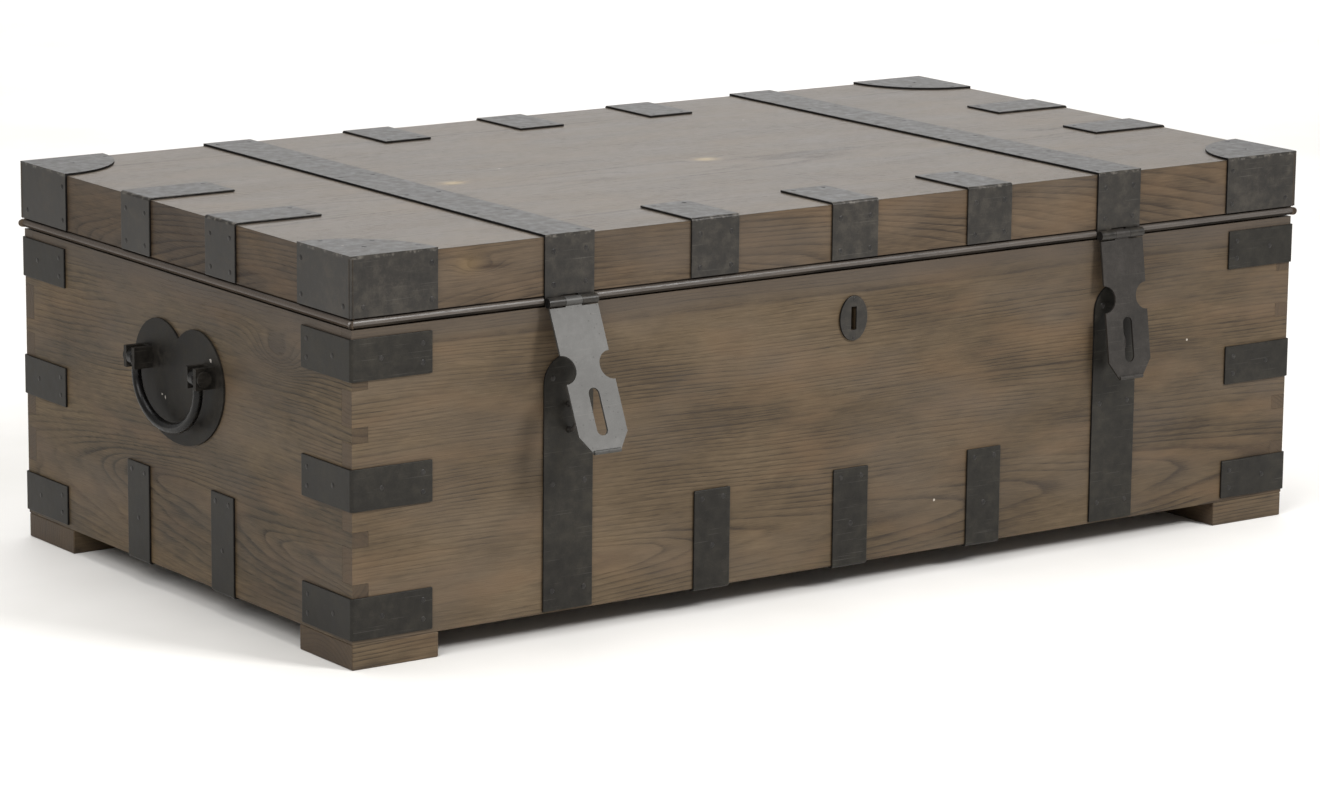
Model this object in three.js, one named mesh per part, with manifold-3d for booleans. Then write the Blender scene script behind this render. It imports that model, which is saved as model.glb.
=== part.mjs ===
// A low plank chest: box-jointed oak panels on four block feet, a hinged lid with a beaded lower edge,
// and a binding of sheet-iron brackets, corner caps and straps, with two hasps, a lock and end handles.
// Millimetres, +Z up. +X runs along the length, the front looks to -Y, and the floor is at z = 0.
import * as THREE from "three";
import { mergeVertices } from "three/addons/utils/BufferGeometryUtils.js";
import Module from "manifold-3d";

const wasm = await Module();
wasm.setup();

// ---- Driving dimensions: the wooden chest ----
const CHEST_LENGTH = 1195; // over the wood, left to right
const CHEST_DEPTH = 655; // over the wood, front to back
const CHEST_HEIGHT = 402.5; // floor to the top of the lid board
const LID_HEIGHT = 67.5; // lower edge of the lid's rails to the top of its board
const LID_GAP = 1.8; // daylight between the lid and the body's rim
const WALL = 18; // body panels, lid rails and lid board
const BOTTOM_THICKNESS = 12;
const BOTTOM_RISE = 4; // bottom panel's underside above the lower edge of the walls
const FOOT_HEIGHT = 26;
const FOOT_WIDTH = 98;
const WIDE_FINGERS = 6; // box-joint fingers on each end of the front and back panels
const NARROW_FINGER = 15; // height of each end-panel finger between them
const GLUE_LINE = 0.2; // clearance between glued wooden faces
const PAST = 1; // how far a cutting shape runs past what it cuts
const INTO = 0.5; // how far shapes that are joined as one piece reach into each other

// ---- Driving dimensions: the bead along the lid's lower edge ----
const BEAD_OUT = 3;
const BEAD_HEIGHT = 8;
const QUIRK = 1.2; // the small square groove above the bead

// ---- Driving dimensions: ironwork ----
const IRON = 2.3; // sheet thickness
const SEAT = 0.2; // clearance between iron and the wood that it lies on
const BRACKET_HEIGHT = 41.5; // corner brackets of the body
const BRACKET_LEG = 92;
const LOWER_BRACKET_RISE = 4; // lowest bracket above the walls' lower edge
const UPPER_BRACKET_DROP = 8.5; // highest bracket below the body's rim
const CAP_LEG = 98; // lid corner caps
const LID_IRON_RISE = 10; // lid ironwork's lower edge above the lid's lower edge
const STRAP_WIDTH = 58; // straps and lid edge brackets
const STRAP_OFFSET = 350; // strap centre from the middle of the chest
const LONG_EDGE_SPACING = 175; // lid edge brackets along the front and back
const SHORT_EDGE_OFFSET = 85; // lid edge brackets along the ends, from the middle
const LONG_EDGE_REACH = 90; // how far those brackets reach in over the lid board
const SHORT_EDGE_REACH = 100;
const FRONT_STRAP_DROP = 48; // tip of a front strap below the body's rim

// ---- Driving dimensions: hinges and hasps ----
const KNUCKLE_RADIUS = 5;
const PIN_RADIUS = 2.3;
const RUNNING = 0.3; // clearance round a pin and beside a knuckle
const HINGE_OUT = KNUCKLE_RADIUS - 1; // hinge axis outside the straps' outer face
const HINGE_RISE = 3; // hinge axis above the lid's lower edge
const LEAF_MARGIN = 1; // straps stop this far short of a knuckle that isn't theirs
const HASP_WIDTH = STRAP_WIDTH - 1;
const HASP_LENGTH = 153; // from its hinge axis
const HASP_BITE = 14.5; // radius of the round bite in each edge
const HASP_BITE_DROP = 67.5; // centre of the bites below the axis
const HASP_SLOT_WIDTH = 12.5;
const HASP_SLOT_LENGTH = 48;
const HASP_SLOT_DROP = 6; // slot's upper end below the bites
const HASP_CHAMFER_WIDTH = 13;
const HASP_CHAMFER_HEIGHT = 18.5;
const HASP_LIP_RADIUS = 2.2; // rolled lip along the lower edge
const LEFT_HASP_ANGLE = 24; // degrees that each hasp stands out at rest
const RIGHT_HASP_ANGLE = 8.5;
const STAPLE_ROD = 2.5; // radius
const STAPLE_HALF_HEIGHT = 13; // leg centres above and below the middle
const STAPLE_REACH = 16; // loop's outside beyond the strap
const STAPLE_BURIED = 12; // leg length inside the front panel
const STAPLE_HASP_PLAY = 4; // staple to slot end, where the hasp is shut

// ---- Driving dimensions: end handles ----
const HANDLE_DROP = 90.2; // pivot below the body's rim
const PLATE_LOBE_RADIUS = 53;
const PLATE_LOBE_OFFSET = 37;
const PLATE_LOWER_DEPTH = 70; // from the lobes' centres down to the plate's lower edge
const POST_ABOVE_LOBES = 11; // pivot above the lobes' centres
const POST_OFFSET = 62; // post centre from the middle of the plate
const POST_WIDTH = 22;
const POST_OUT = 24; // post's end beyond the wood
const PIVOT_OUT = 15.5;
const EYE_RADIUS = 9.5;
const BAIL_ROD = 5; // radius
const BAIL_DROP = 62; // pivot to the lowest point of the rod's centre line
const BAIL_STRAIGHT = 15;
const PIVOT_PIN = 3; // radius
const PIN_HEAD_RADIUS = 8;
const PIN_HEAD = 3;

// ---- Driving dimensions: lock ----
const KEYHOLE_DROP = 50; // centre of the keyhole plate below the body's rim
const KEYHOLE_PLATE_WIDTH = 35;
const KEYHOLE_PLATE_HEIGHT = 47;
const KEYHOLE_WIDTH = 6.5;
const KEYHOLE_LENGTH = 24;
const LOCK_WIDTH = 80;
const LOCK_HEIGHT = 68;
const LOCK_DEPTH = 14;
const LOCK_BELOW_RIM = 2;
const BOLT_WIDTH = 30;
const BOLT_THICKNESS = 6;
const BOLT_HEIGHT = 29;
const BOLT_THROW = 12;
const BOLT_PLAY = 0.4;
const BOLT_SUNK = 1; // drawn bolt's end below the case's top
const CHAMBER_MARGIN = 3; // key's chamber below the keyhole
const CHAMBER_ROOF = 5; // case above the key's chamber
const KEEPER_WIDTH = 48;
const KEEPER_WALL = 3;
const KEEPER_SPARE = 2; // room above the thrown bolt

// ---- Derived places ----
const HALF_LENGTH = CHEST_LENGTH / 2;
const HALF_DEPTH = CHEST_DEPTH / 2;
const IRON_OUT = SEAT + IRON; // iron's outer face beyond the wood
const LID_BOTTOM = CHEST_HEIGHT - LID_HEIGHT;
const RIM = LID_BOTTOM - LID_GAP; // top edge of the body
const BODY_HEIGHT = RIM - FOOT_HEIGHT;
const LID_IRON_BOTTOM = LID_BOTTOM + LID_IRON_RISE;
const LID_IRON_TOP = CHEST_HEIGHT + IRON_OUT;
const BOTTOM_TOP = FOOT_HEIGHT + BOTTOM_RISE + BOTTOM_THICKNESS;
const AXIS_OUT = IRON_OUT + HINGE_OUT; // hinge axis beyond the wood
const AXIS_Z = LID_BOTTOM + HINGE_RISE;
const KNUCKLE_LENGTH = STRAP_WIDTH / 3;
const BORE_RADIUS = PIN_RADIUS + RUNNING;
const SLOT_TOP = HASP_BITE_DROP + HASP_BITE + HASP_SLOT_DROP; // hasp slot's upper end below the axis
const STAPLE_Z = AXIS_Z - SLOT_TOP - STAPLE_HASP_PLAY - HASP_SLOT_LENGTH / 2;
const HANDLE_Z = RIM - HANDLE_DROP;
const KEYHOLE_Z = RIM - KEYHOLE_DROP;
const LOCK_TOP = RIM - LOCK_BELOW_RIM;
const LOCK_BACK = -HALF_DEPTH + WALL + SEAT; // the lock's face against the front panel
const BOLT_Y = LOCK_BACK + LOCK_DEPTH / 2;

// ---- Looks ----
const OAK = { color: 0x63523f, roughness: 0.6, metalness: 0 };
const LID_OAK = { color: 0x7a6a5a, roughness: 0.5, metalness: 0 };
const DARK_IRON = { color: 0x3d3a38, roughness: 0.55, metalness: 0.8 };
const BRIGHT_IRON = { color: 0x8d8b87, roughness: 0.45, metalness: 0.9 };
const BRASS = { color: 0x8a7442, roughness: 0.4, metalness: 0.9 };

const chest = new THREE.Group();

function addPiece(name, geometry, look, parent = chest) {
  const piece = new THREE.Mesh(geometry, new THREE.MeshStandardMaterial(look));
  piece.name = name;
  parent.add(piece);
  return piece;
}

// ---- Joining and cutting closed meshes ----
function toSolid(geometry) {
  const bare = new THREE.BufferGeometry();
  bare.setAttribute("position", geometry.getAttribute("position").clone());
  if (geometry.index) bare.setIndex(geometry.index.clone());
  const merged = mergeVertices(bare, 1e-4);
  return new wasm.Manifold(
    new wasm.Mesh({
      numProp: 3,
      vertProperties: new Float32Array(merged.getAttribute("position").array),
      triVerts: new Uint32Array(merged.index.array),
    }),
  );
}

function toGeometry(solid) {
  const mesh = solid.getMesh();
  const geometry = new THREE.BufferGeometry();
  geometry.setAttribute("position", new THREE.BufferAttribute(mesh.vertProperties, 3));
  geometry.setIndex(new THREE.BufferAttribute(mesh.triVerts, 1));
  geometry.computeVertexNormals();
  return geometry;
}

function join(...geometries) {
  return toGeometry(geometries.map(toSolid).reduce((whole, piece) => whole.add(piece)));
}

function cut(geometry, ...tools) {
  return toGeometry(tools.map(toSolid).reduce((left, tool) => left.subtract(tool), toSolid(geometry)));
}

// ---- Basic shapes, placed ----
function block([x0, x1], [y0, y1], [z0, z1]) {
  const box = new THREE.BoxGeometry(x1 - x0, y1 - y0, z1 - z0);
  return box.translate((x0 + x1) / 2, (y0 + y1) / 2, (z0 + z1) / 2);
}

// A round bar along X between two ends.
function barAlongX(radius, x0, x1, y, z, sides = 24) {
  const bar = new THREE.CylinderGeometry(radius, radius, x1 - x0, sides);
  return bar.rotateZ(Math.PI / 2).translate((x0 + x1) / 2, y, z);
}

function extrude(shape, depth, curveSegments = 12) {
  return new THREE.ExtrudeGeometry(shape, { depth, bevelEnabled: false, curveSegments });
}

// An outline drawn in X and Z, given its thickness between two places on Y.
function uprightInXZ(shape, y0, y1) {
  const axes = new THREE.Matrix4().makeBasis(
    new THREE.Vector3(1, 0, 0),
    new THREE.Vector3(0, 0, 1),
    new THREE.Vector3(0, -1, 0),
  );
  return extrude(shape, y1 - y0).applyMatrix4(axes).translate(0, y1, 0);
}

// An outline drawn in Y and Z, given its thickness between two places on X.
function uprightInYZ(shape, x0, x1) {
  const axes = new THREE.Matrix4().makeBasis(
    new THREE.Vector3(0, 1, 0),
    new THREE.Vector3(0, 0, 1),
    new THREE.Vector3(1, 0, 0),
  );
  return extrude(shape, x1 - x0).applyMatrix4(axes).translate(x0, 0, 0);
}

function outline(...points) {
  return new THREE.Shape(points.map(([u, v]) => new THREE.Vector2(u, v)));
}

// ---- Faces and corners: frames that repeat round the chest ----
// On a face frame the origin is at the foot of the wood's face, +X runs along it and -Y points out.
function faceFrame(turns, out) {
  const frame = new THREE.Group();
  frame.rotation.z = (turns * Math.PI) / 2;
  frame.position.set(0, -out, 0).applyAxisAngle(new THREE.Vector3(0, 0, 1), frame.rotation.z);
  chest.add(frame);
  return frame;
}

const front = faceFrame(0, HALF_DEPTH);
const rightEnd = faceFrame(1, HALF_LENGTH);
const back = faceFrame(2, HALF_DEPTH);
const leftEnd = faceFrame(3, HALF_LENGTH);

// On a corner frame the origin is at the wood's corner, and both faces run away along +X and +Y.
const CORNERS = [
  ["front_left", -1, -1],
  ["front_right", 1, -1],
  ["back_right", 1, 1],
  ["back_left", -1, 1],
].map(([name, sideX, sideY], turns) => {
  const frame = new THREE.Group();
  frame.rotation.z = (turns * Math.PI) / 2;
  frame.position.set(sideX * HALF_LENGTH, sideY * HALF_DEPTH, 0);
  chest.add(frame);
  return { name, frame };
});

// ---- Body panels ----
const fingerCentres = Array.from(
  { length: WIDE_FINGERS - 1 },
  (_, i) => FOOT_HEIGHT + ((i + 1) * BODY_HEIGHT) / WIDE_FINGERS,
);

// A panel's outline whose two sides step in or out at every narrow finger.
function fingeredOutline(half, halfAtFingers, fingerHeight) {
  const side = [[half, FOOT_HEIGHT]];
  for (const centre of fingerCentres) {
    const low = centre - fingerHeight / 2;
    const high = centre + fingerHeight / 2;
    side.push([half, low], [halfAtFingers, low], [halfAtFingers, high], [half, high]);
  }
  side.push([half, RIM]);
  const otherSide = side.map(([u, v]) => [-u, v]).reverse();
  return outline(...side, ...otherSide);
}

const longPanel = fingeredOutline(
  HALF_LENGTH,
  HALF_LENGTH - WALL - GLUE_LINE,
  NARROW_FINGER + 2 * GLUE_LINE,
);
const endPanel = fingeredOutline(HALF_DEPTH - WALL - GLUE_LINE, HALF_DEPTH, NARROW_FINGER);

// A keyhole: a plain upright slot, centred on its own height.
function keyholeOutline(clearance) {
  const half = KEYHOLE_WIDTH / 2 + clearance;
  const tall = KEYHOLE_LENGTH / 2 + clearance;
  const hole = new THREE.Shape();
  hole.moveTo(-half, -tall);
  hole.lineTo(half, -tall);
  hole.lineTo(half, tall);
  hole.lineTo(-half, tall);
  hole.closePath();
  return hole;
}

function stapleHoles(y0, y1) {
  const holes = [];
  for (const x of [-STRAP_OFFSET, STRAP_OFFSET])
    for (const z of [STAPLE_Z - STAPLE_HALF_HEIGHT, STAPLE_Z + STAPLE_HALF_HEIGHT]) {
      const hole = new THREE.CylinderGeometry(STAPLE_ROD + RUNNING, STAPLE_ROD + RUNNING, y1 - y0, 16);
      holes.push(hole.translate(x, (y0 + y1) / 2, z));
    }
  return holes;
}

const keyPassage = uprightInXZ(keyholeOutline(RUNNING), -PAST, WALL + PAST);
keyPassage.translate(0, 0, KEYHOLE_Z);
const holeDepth = STAPLE_BURIED + RUNNING;
addPiece(
  "front_panel",
  cut(uprightInXZ(longPanel, 0, WALL), keyPassage, ...stapleHoles(-PAST, holeDepth)),
  OAK,
  front,
);
addPiece("back_panel", uprightInXZ(longPanel, 0, WALL), OAK, back);
addPiece("left_end_panel", uprightInXZ(endPanel, 0, WALL), OAK, leftEnd);
addPiece("right_end_panel", uprightInXZ(endPanel, 0, WALL), OAK, rightEnd);

const insideX = HALF_LENGTH - WALL - GLUE_LINE;
const insideY = HALF_DEPTH - WALL - GLUE_LINE;
addPiece(
  "bottom_panel",
  block([-insideX, insideX], [-insideY, insideY], [FOOT_HEIGHT + BOTTOM_RISE, BOTTOM_TOP]),
  OAK,
);

for (const { name, frame } of CORNERS)
  addPiece(
    `${name}_foot`,
    block([0, FOOT_WIDTH], [0, FOOT_WIDTH], [0, FOOT_HEIGHT - GLUE_LINE]),
    OAK,
    frame,
  );

// ---- Lid: four mitred rails with a bead, and a board mitred down into them ----
// The rail's section: inward distance from its outer face, and height.
function railSection() {
  const top = CHEST_HEIGHT - 1.5 * GLUE_LINE;
  const beadTop = LID_BOTTOM + BEAD_HEIGHT;
  const section = new THREE.Shape();
  section.moveTo(0, top);
  section.lineTo(0, beadTop + QUIRK);
  section.lineTo(QUIRK, beadTop + QUIRK);
  section.lineTo(QUIRK, beadTop);
  section.lineTo(0, beadTop);
  section.absellipse(0, LID_BOTTOM + BEAD_HEIGHT / 2, BEAD_OUT, BEAD_HEIGHT / 2, Math.PI / 2, 1.5 * Math.PI);
  section.lineTo(WALL, LID_BOTTOM);
  section.lineTo(WALL, top - WALL);
  return section;
}

// A rail whose two ends are cut at 45 degrees, so its length shrinks as the section goes inward.
function mitredRail(length) {
  const rail = extrude(railSection(), 1, 5);
  const place = rail.getAttribute("position");
  for (let i = 0; i < place.count; i++) {
    const inward = place.getX(i);
    const end = place.getZ(i) > 0.5 ? 1 : -1;
    place.setXYZ(i, end * (length / 2 - inward - GLUE_LINE / 2), inward, place.getY(i));
  }
  return rail;
}

// Clears the bead where a strap's hinge knuckles lie against the rail.
const beadGaps = [-STRAP_OFFSET, STRAP_OFFSET].map((x) => {
  const half = STRAP_WIDTH / 2 + LEAF_MARGIN;
  const top = LID_BOTTOM + BEAD_HEIGHT + QUIRK / 2;
  return block([x - half, x + half], [-BEAD_OUT - PAST, 0], [LID_BOTTOM - PAST, top]);
});
const longRail = cut(mitredRail(CHEST_LENGTH), ...beadGaps);
addPiece("lid_front_rail", longRail, LID_OAK, front);
addPiece("lid_back_rail", longRail.clone(), LID_OAK, back);
addPiece("lid_left_rail", mitredRail(CHEST_DEPTH), LID_OAK, leftEnd);
addPiece("lid_right_rail", mitredRail(CHEST_DEPTH), LID_OAK, rightEnd);

const lidBoard = new THREE.BoxGeometry(CHEST_LENGTH, CHEST_DEPTH, WALL);
const boardPlace = lidBoard.getAttribute("position");
for (let i = 0; i < boardPlace.count; i++)
  if (boardPlace.getZ(i) < 0) {
    boardPlace.setX(i, boardPlace.getX(i) - WALL * Math.sign(boardPlace.getX(i)));
    boardPlace.setY(i, boardPlace.getY(i) - WALL * Math.sign(boardPlace.getY(i)));
  }
addPiece("lid_board", lidBoard.translate(0, 0, CHEST_HEIGHT - WALL / 2), LID_OAK);

// ---- Corner ironwork ----
// A right angle of sheet iron wrapped round a corner, seen from above.
function cornerAngle(leg) {
  const far = leg - IRON_OUT;
  return outline(
    [-IRON_OUT, -IRON_OUT],
    [far, -IRON_OUT],
    [far, -SEAT],
    [-SEAT, -SEAT],
    [-SEAT, far],
    [-IRON_OUT, far],
  );
}

const lowerBracket = FOOT_HEIGHT + LOWER_BRACKET_RISE;
const upperBracket = RIM - UPPER_BRACKET_DROP - BRACKET_HEIGHT;
const BRACKET_LEVELS = {
  lower: lowerBracket,
  middle: (lowerBracket + upperBracket) / 2,
  upper: upperBracket,
};

for (const { name, frame } of CORNERS) {
  for (const [level, z] of Object.entries(BRACKET_LEVELS)) {
    const bracket = extrude(cornerAngle(BRACKET_LEG), BRACKET_HEIGHT).translate(0, 0, z);
    addPiece(`${name}_${level}_bracket`, bracket, DARK_IRON, frame);
  }
  const quarter = new THREE.Shape();
  quarter.moveTo(0, 0);
  quarter.lineTo(CAP_LEG, 0);
  quarter.absarc(0, 0, CAP_LEG, 0, Math.PI / 2, false);
  const top = extrude(quarter, IRON, 16).translate(-IRON_OUT, -IRON_OUT, LID_IRON_TOP - IRON);
  const sides = extrude(cornerAngle(CAP_LEG), LID_IRON_TOP - LID_IRON_BOTTOM);
  const cap = join(sides.translate(0, 0, LID_IRON_BOTTOM), top);
  addPiece(`${name}_lid_cap`, cap, DARK_IRON, frame);
}

// ---- Lid edge brackets: an angle over the lid's edge, with one leg on the board ----
function edgeBracket(reach) {
  const inner = reach - IRON_OUT;
  const angle = outline(
    [-IRON_OUT, LID_IRON_BOTTOM],
    [-SEAT, LID_IRON_BOTTOM],
    [-SEAT, LID_IRON_TOP - IRON],
    [inner, LID_IRON_TOP - IRON],
    [inner, LID_IRON_TOP],
    [-IRON_OUT, LID_IRON_TOP],
  );
  return uprightInYZ(angle, -STRAP_WIDTH / 2, STRAP_WIDTH / 2);
}

function addEdgeBrackets(side, face, places, reach) {
  places.forEach((x, i) => {
    const bracket = edgeBracket(reach).translate(x, 0, 0);
    addPiece(`lid_${side}_bracket_${i + 1}`, bracket, DARK_IRON, face);
  });
}

const longPlaces = [-LONG_EDGE_SPACING, 0, LONG_EDGE_SPACING];
const shortPlaces = [-SHORT_EDGE_OFFSET, SHORT_EDGE_OFFSET];
addEdgeBrackets("front", front, longPlaces, LONG_EDGE_REACH);
addEdgeBrackets("back", back, longPlaces, LONG_EDGE_REACH);
addEdgeBrackets("left", leftEnd, shortPlaces, SHORT_EDGE_REACH);
addEdgeBrackets("right", rightEnd, shortPlaces, SHORT_EDGE_REACH);

// ---- Hinge knuckles, in a face frame and centred on a strap ----
// The span along X of one third of a strap's width: -1 left, 0 middle, 1 right.
function third(index) {
  const middle = index * KNUCKLE_LENGTH;
  const half = KNUCKLE_LENGTH / 2 - RUNNING / 2;
  return [middle - half, middle + half];
}

// One rolled knuckle and the tab that carries it up or down to its strap's edge at leafZ.
function knuckle(index, leafZ) {
  const span = third(index);
  const tabZ = [Math.min(AXIS_Z, leafZ), Math.max(AXIS_Z, leafZ)];
  const roll = barAlongX(KNUCKLE_RADIUS, ...span, -AXIS_OUT, AXIS_Z);
  return join(roll, block(span, [-IRON_OUT, -SEAT], tabZ));
}

function bore(x0, x1) {
  return barAlongX(BORE_RADIUS, x0 - PAST, x1 + PAST, -AXIS_OUT, AXIS_Z);
}

const halfStrap = STRAP_WIDTH / 2;
const lidLeafZ = AXIS_Z + KNUCKLE_RADIUS + LEAF_MARGIN;
const bodyLeafZ = AXIS_Z - KNUCKLE_RADIUS - LEAF_MARGIN;

// ---- Lid straps: down the front, over the board and down the back ----
// The front carries a hasp on two knuckles and their riveted pin; the back has the lid's hinge knuckle.
function lidStrap() {
  const farOut = CHEST_DEPTH + IRON_OUT;
  const farIn = CHEST_DEPTH + SEAT;
  const overTop = outline(
    [-IRON_OUT, lidLeafZ],
    [-SEAT, lidLeafZ],
    [-SEAT, LID_IRON_TOP - IRON],
    [farIn, LID_IRON_TOP - IRON],
    [farIn, lidLeafZ],
    [farOut, lidLeafZ],
    [farOut, LID_IRON_TOP],
    [-IRON_OUT, LID_IRON_TOP],
  );
  const haspPin = barAlongX(PIN_RADIUS, -halfStrap, halfStrap, -AXIS_OUT, AXIS_Z);
  const backKnuckle = cut(knuckle(0, lidLeafZ), bore(-halfStrap, halfStrap));
  backKnuckle.rotateZ(Math.PI).translate(0, CHEST_DEPTH, 0);
  return join(
    uprightInYZ(overTop, -halfStrap, halfStrap),
    knuckle(-1, lidLeafZ),
    knuckle(1, lidLeafZ),
    haspPin,
    backKnuckle,
  );
}

// ---- Body straps ----
// A front strap ends in a half round near the rim and is pierced for its staple.
function frontStrap(x) {
  const low = FOOT_HEIGHT + LOWER_BRACKET_RISE / 2;
  const strip = new THREE.Shape();
  strip.moveTo(x - halfStrap, low);
  strip.lineTo(x + halfStrap, low);
  strip.absarc(x, RIM - FRONT_STRAP_DROP - halfStrap, halfStrap, 0, Math.PI, false);
  return cut(uprightInXZ(strip, -IRON_OUT, -SEAT), ...stapleHoles(-IRON_OUT - PAST, PAST));
}

// A back strap carries two hinge knuckles at its upper end.
function backStrap() {
  const low = FOOT_HEIGHT + LOWER_BRACKET_RISE / 2;
  const strip = block([-halfStrap, halfStrap], [-IRON_OUT, -SEAT], [low, bodyLeafZ]);
  const whole = join(strip, knuckle(-1, bodyLeafZ), knuckle(1, bodyLeafZ));
  return cut(whole, bore(-halfStrap, halfStrap));
}

// ---- Staples: a rod bent into a loop, its two legs driven into the front panel ----
class StapleCurve extends THREE.Curve {
  getPoint(t) {
    const round = Math.PI * STAPLE_HALF_HEIGHT;
    const leg = STAPLE_BURIED + IRON_OUT + STAPLE_REACH - STAPLE_ROD - STAPLE_HALF_HEIGHT;
    const along = t * (2 * leg + round);
    const bend = STAPLE_BURIED - leg;
    if (along < leg) return new THREE.Vector3(0, STAPLE_BURIED - along, -STAPLE_HALF_HEIGHT);
    if (along > leg + round)
      return new THREE.Vector3(0, bend + along - leg - round, STAPLE_HALF_HEIGHT);
    const angle = ((along - leg) / round) * Math.PI;
    const out = bend - STAPLE_HALF_HEIGHT * Math.sin(angle);
    return new THREE.Vector3(0, out, -STAPLE_HALF_HEIGHT * Math.cos(angle));
  }
}

// A closed tube of a regular section carried along a curve.
function rod(curve, radius, steps, sides) {
  const ring = Array.from({ length: sides }, (_, i) => [
    radius * Math.cos((2 * Math.PI * i) / sides),
    radius * Math.sin((2 * Math.PI * i) / sides),
  ]);
  return new THREE.ExtrudeGeometry(outline(...ring), { steps, extrudePath: curve });
}

// ---- Hasps: a plate that hangs from its knuckle at the origin, down to -HASP_LENGTH ----
function haspOutline() {
  const half = HASP_WIDTH / 2;
  const plate = new THREE.Shape();
  plate.moveTo(-half, -KNUCKLE_RADIUS - LEAF_MARGIN);
  plate.lineTo(-half, -HASP_BITE_DROP + HASP_BITE);
  plate.absarc(-half, -HASP_BITE_DROP, HASP_BITE, Math.PI / 2, -Math.PI / 2, true);
  plate.lineTo(-half, -HASP_LENGTH + HASP_CHAMFER_HEIGHT);
  plate.lineTo(-half + HASP_CHAMFER_WIDTH, -HASP_LENGTH);
  plate.lineTo(half - HASP_CHAMFER_WIDTH, -HASP_LENGTH);
  plate.lineTo(half, -HASP_LENGTH + HASP_CHAMFER_HEIGHT);
  plate.absarc(half, -HASP_BITE_DROP, HASP_BITE, -Math.PI / 2, Math.PI / 2, true);
  plate.lineTo(half, -KNUCKLE_RADIUS - LEAF_MARGIN);
  const slotRadius = HASP_SLOT_WIDTH / 2;
  const slot = new THREE.Path();
  slot.absarc(0, -SLOT_TOP - slotRadius, slotRadius, 0, Math.PI, false);
  slot.absarc(0, -SLOT_TOP - HASP_SLOT_LENGTH + slotRadius, slotRadius, Math.PI, 2 * Math.PI, false);
  plate.holes.push(slot);
  return plate;
}

function hasp() {
  const span = third(0);
  const halfIron = IRON / 2;
  const tabZ = [-KNUCKLE_RADIUS - LEAF_MARGIN - INTO, 0];
  const lipHalf = HASP_WIDTH / 2 - HASP_CHAMFER_WIDTH;
  const whole = join(
    uprightInXZ(haspOutline(), -halfIron, halfIron),
    block(span, [-halfIron, halfIron], tabZ),
    barAlongX(KNUCKLE_RADIUS, ...span, 0, 0),
    barAlongX(HASP_LIP_RADIUS, -lipHalf, lipHalf, -halfIron, -HASP_LENGTH + HASP_LIP_RADIUS / 2, 12),
  );
  return cut(whole, barAlongX(BORE_RADIUS, span[0] - PAST, span[1] + PAST, 0, 0));
}

const HASPS = [
  ["left", -STRAP_OFFSET, LEFT_HASP_ANGLE],
  ["right", STRAP_OFFSET, RIGHT_HASP_ANGLE],
];
for (const [side, x, angle] of HASPS) {
  addPiece(`${side}_lid_strap`, lidStrap(), DARK_IRON, front).position.x = x;
  addPiece(`${side}_front_strap`, frontStrap(x), DARK_IRON, front);
  addPiece(`${side}_back_strap`, backStrap(), DARK_IRON, back).position.x = -x;
  const hingePin = barAlongX(PIN_RADIUS, -halfStrap, halfStrap, -AXIS_OUT, AXIS_Z);
  addPiece(`${side}_hinge_pin`, hingePin, DARK_IRON, back).position.x = -x;
  const staple = rod(new StapleCurve(), STAPLE_ROD, 28, 10);
  addPiece(`${side}_staple`, staple, BRIGHT_IRON, front).position.set(x, 0, STAPLE_Z);
  const hung = addPiece(`${side}_hasp`, hasp(), BRIGHT_IRON, front);
  hung.position.set(x, -AXIS_OUT, AXIS_Z);
  hung.rotation.x = THREE.MathUtils.degToRad(-angle);
}

// ---- End handles, in a face frame ----
// The plate: two lobes side by side over one broad half ellipse, with its origin at the lobes' centres.
function handlePlateOutline() {
  const halfWidth = PLATE_LOBE_OFFSET + PLATE_LOBE_RADIUS;
  const meet = Math.acos(PLATE_LOBE_OFFSET / PLATE_LOBE_RADIUS);
  const plate = new THREE.Shape();
  plate.absarc(PLATE_LOBE_OFFSET, 0, PLATE_LOBE_RADIUS, Math.PI - meet, 0, true);
  plate.absellipse(0, 0, halfWidth, PLATE_LOWER_DEPTH, 0, -Math.PI, true);
  plate.absarc(-PLATE_LOBE_OFFSET, 0, PLATE_LOBE_RADIUS, Math.PI, meet, true);
  return plate;
}

function handlePlate() {
  const halfPost = POST_WIDTH / 2;
  const slotHalf = BAIL_ROD + BOLT_PLAY;
  const slotRoot = -PIVOT_OUT + EYE_RADIUS + RUNNING;
  const plate = uprightInXZ(handlePlateOutline(), -IRON_OUT, -SEAT);
  const pieces = [plate.translate(0, 0, HANDLE_Z - POST_ABOVE_LOBES)];
  const slots = [];
  const pins = [];
  for (const side of [-1, 1]) {
    const x = side * POST_OFFSET;
    const upright = [HANDLE_Z - halfPost, HANDLE_Z + halfPost];
    pieces.push(block([x - halfPost, x + halfPost], [-POST_OUT, -IRON_OUT + INTO], upright));
    const slotZ = [upright[0] - PAST, upright[1] + PAST];
    slots.push(block([x - slotHalf, x + slotHalf], [-POST_OUT - PAST, slotRoot], slotZ));
    const headEnd = side * (halfPost + PIN_HEAD) + x;
    const headStart = side * (halfPost - INTO) + x;
    const head = [Math.min(headStart, headEnd), Math.max(headStart, headEnd)];
    pins.push(barAlongX(PIN_HEAD_RADIUS, ...head, -PIVOT_OUT, HANDLE_Z));
    pins.push(barAlongX(PIVOT_PIN, x - halfPost + INTO, x + halfPost - INTO, -PIVOT_OUT, HANDLE_Z));
  }
  return join(cut(join(...pieces), ...slots), ...pins);
}

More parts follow.
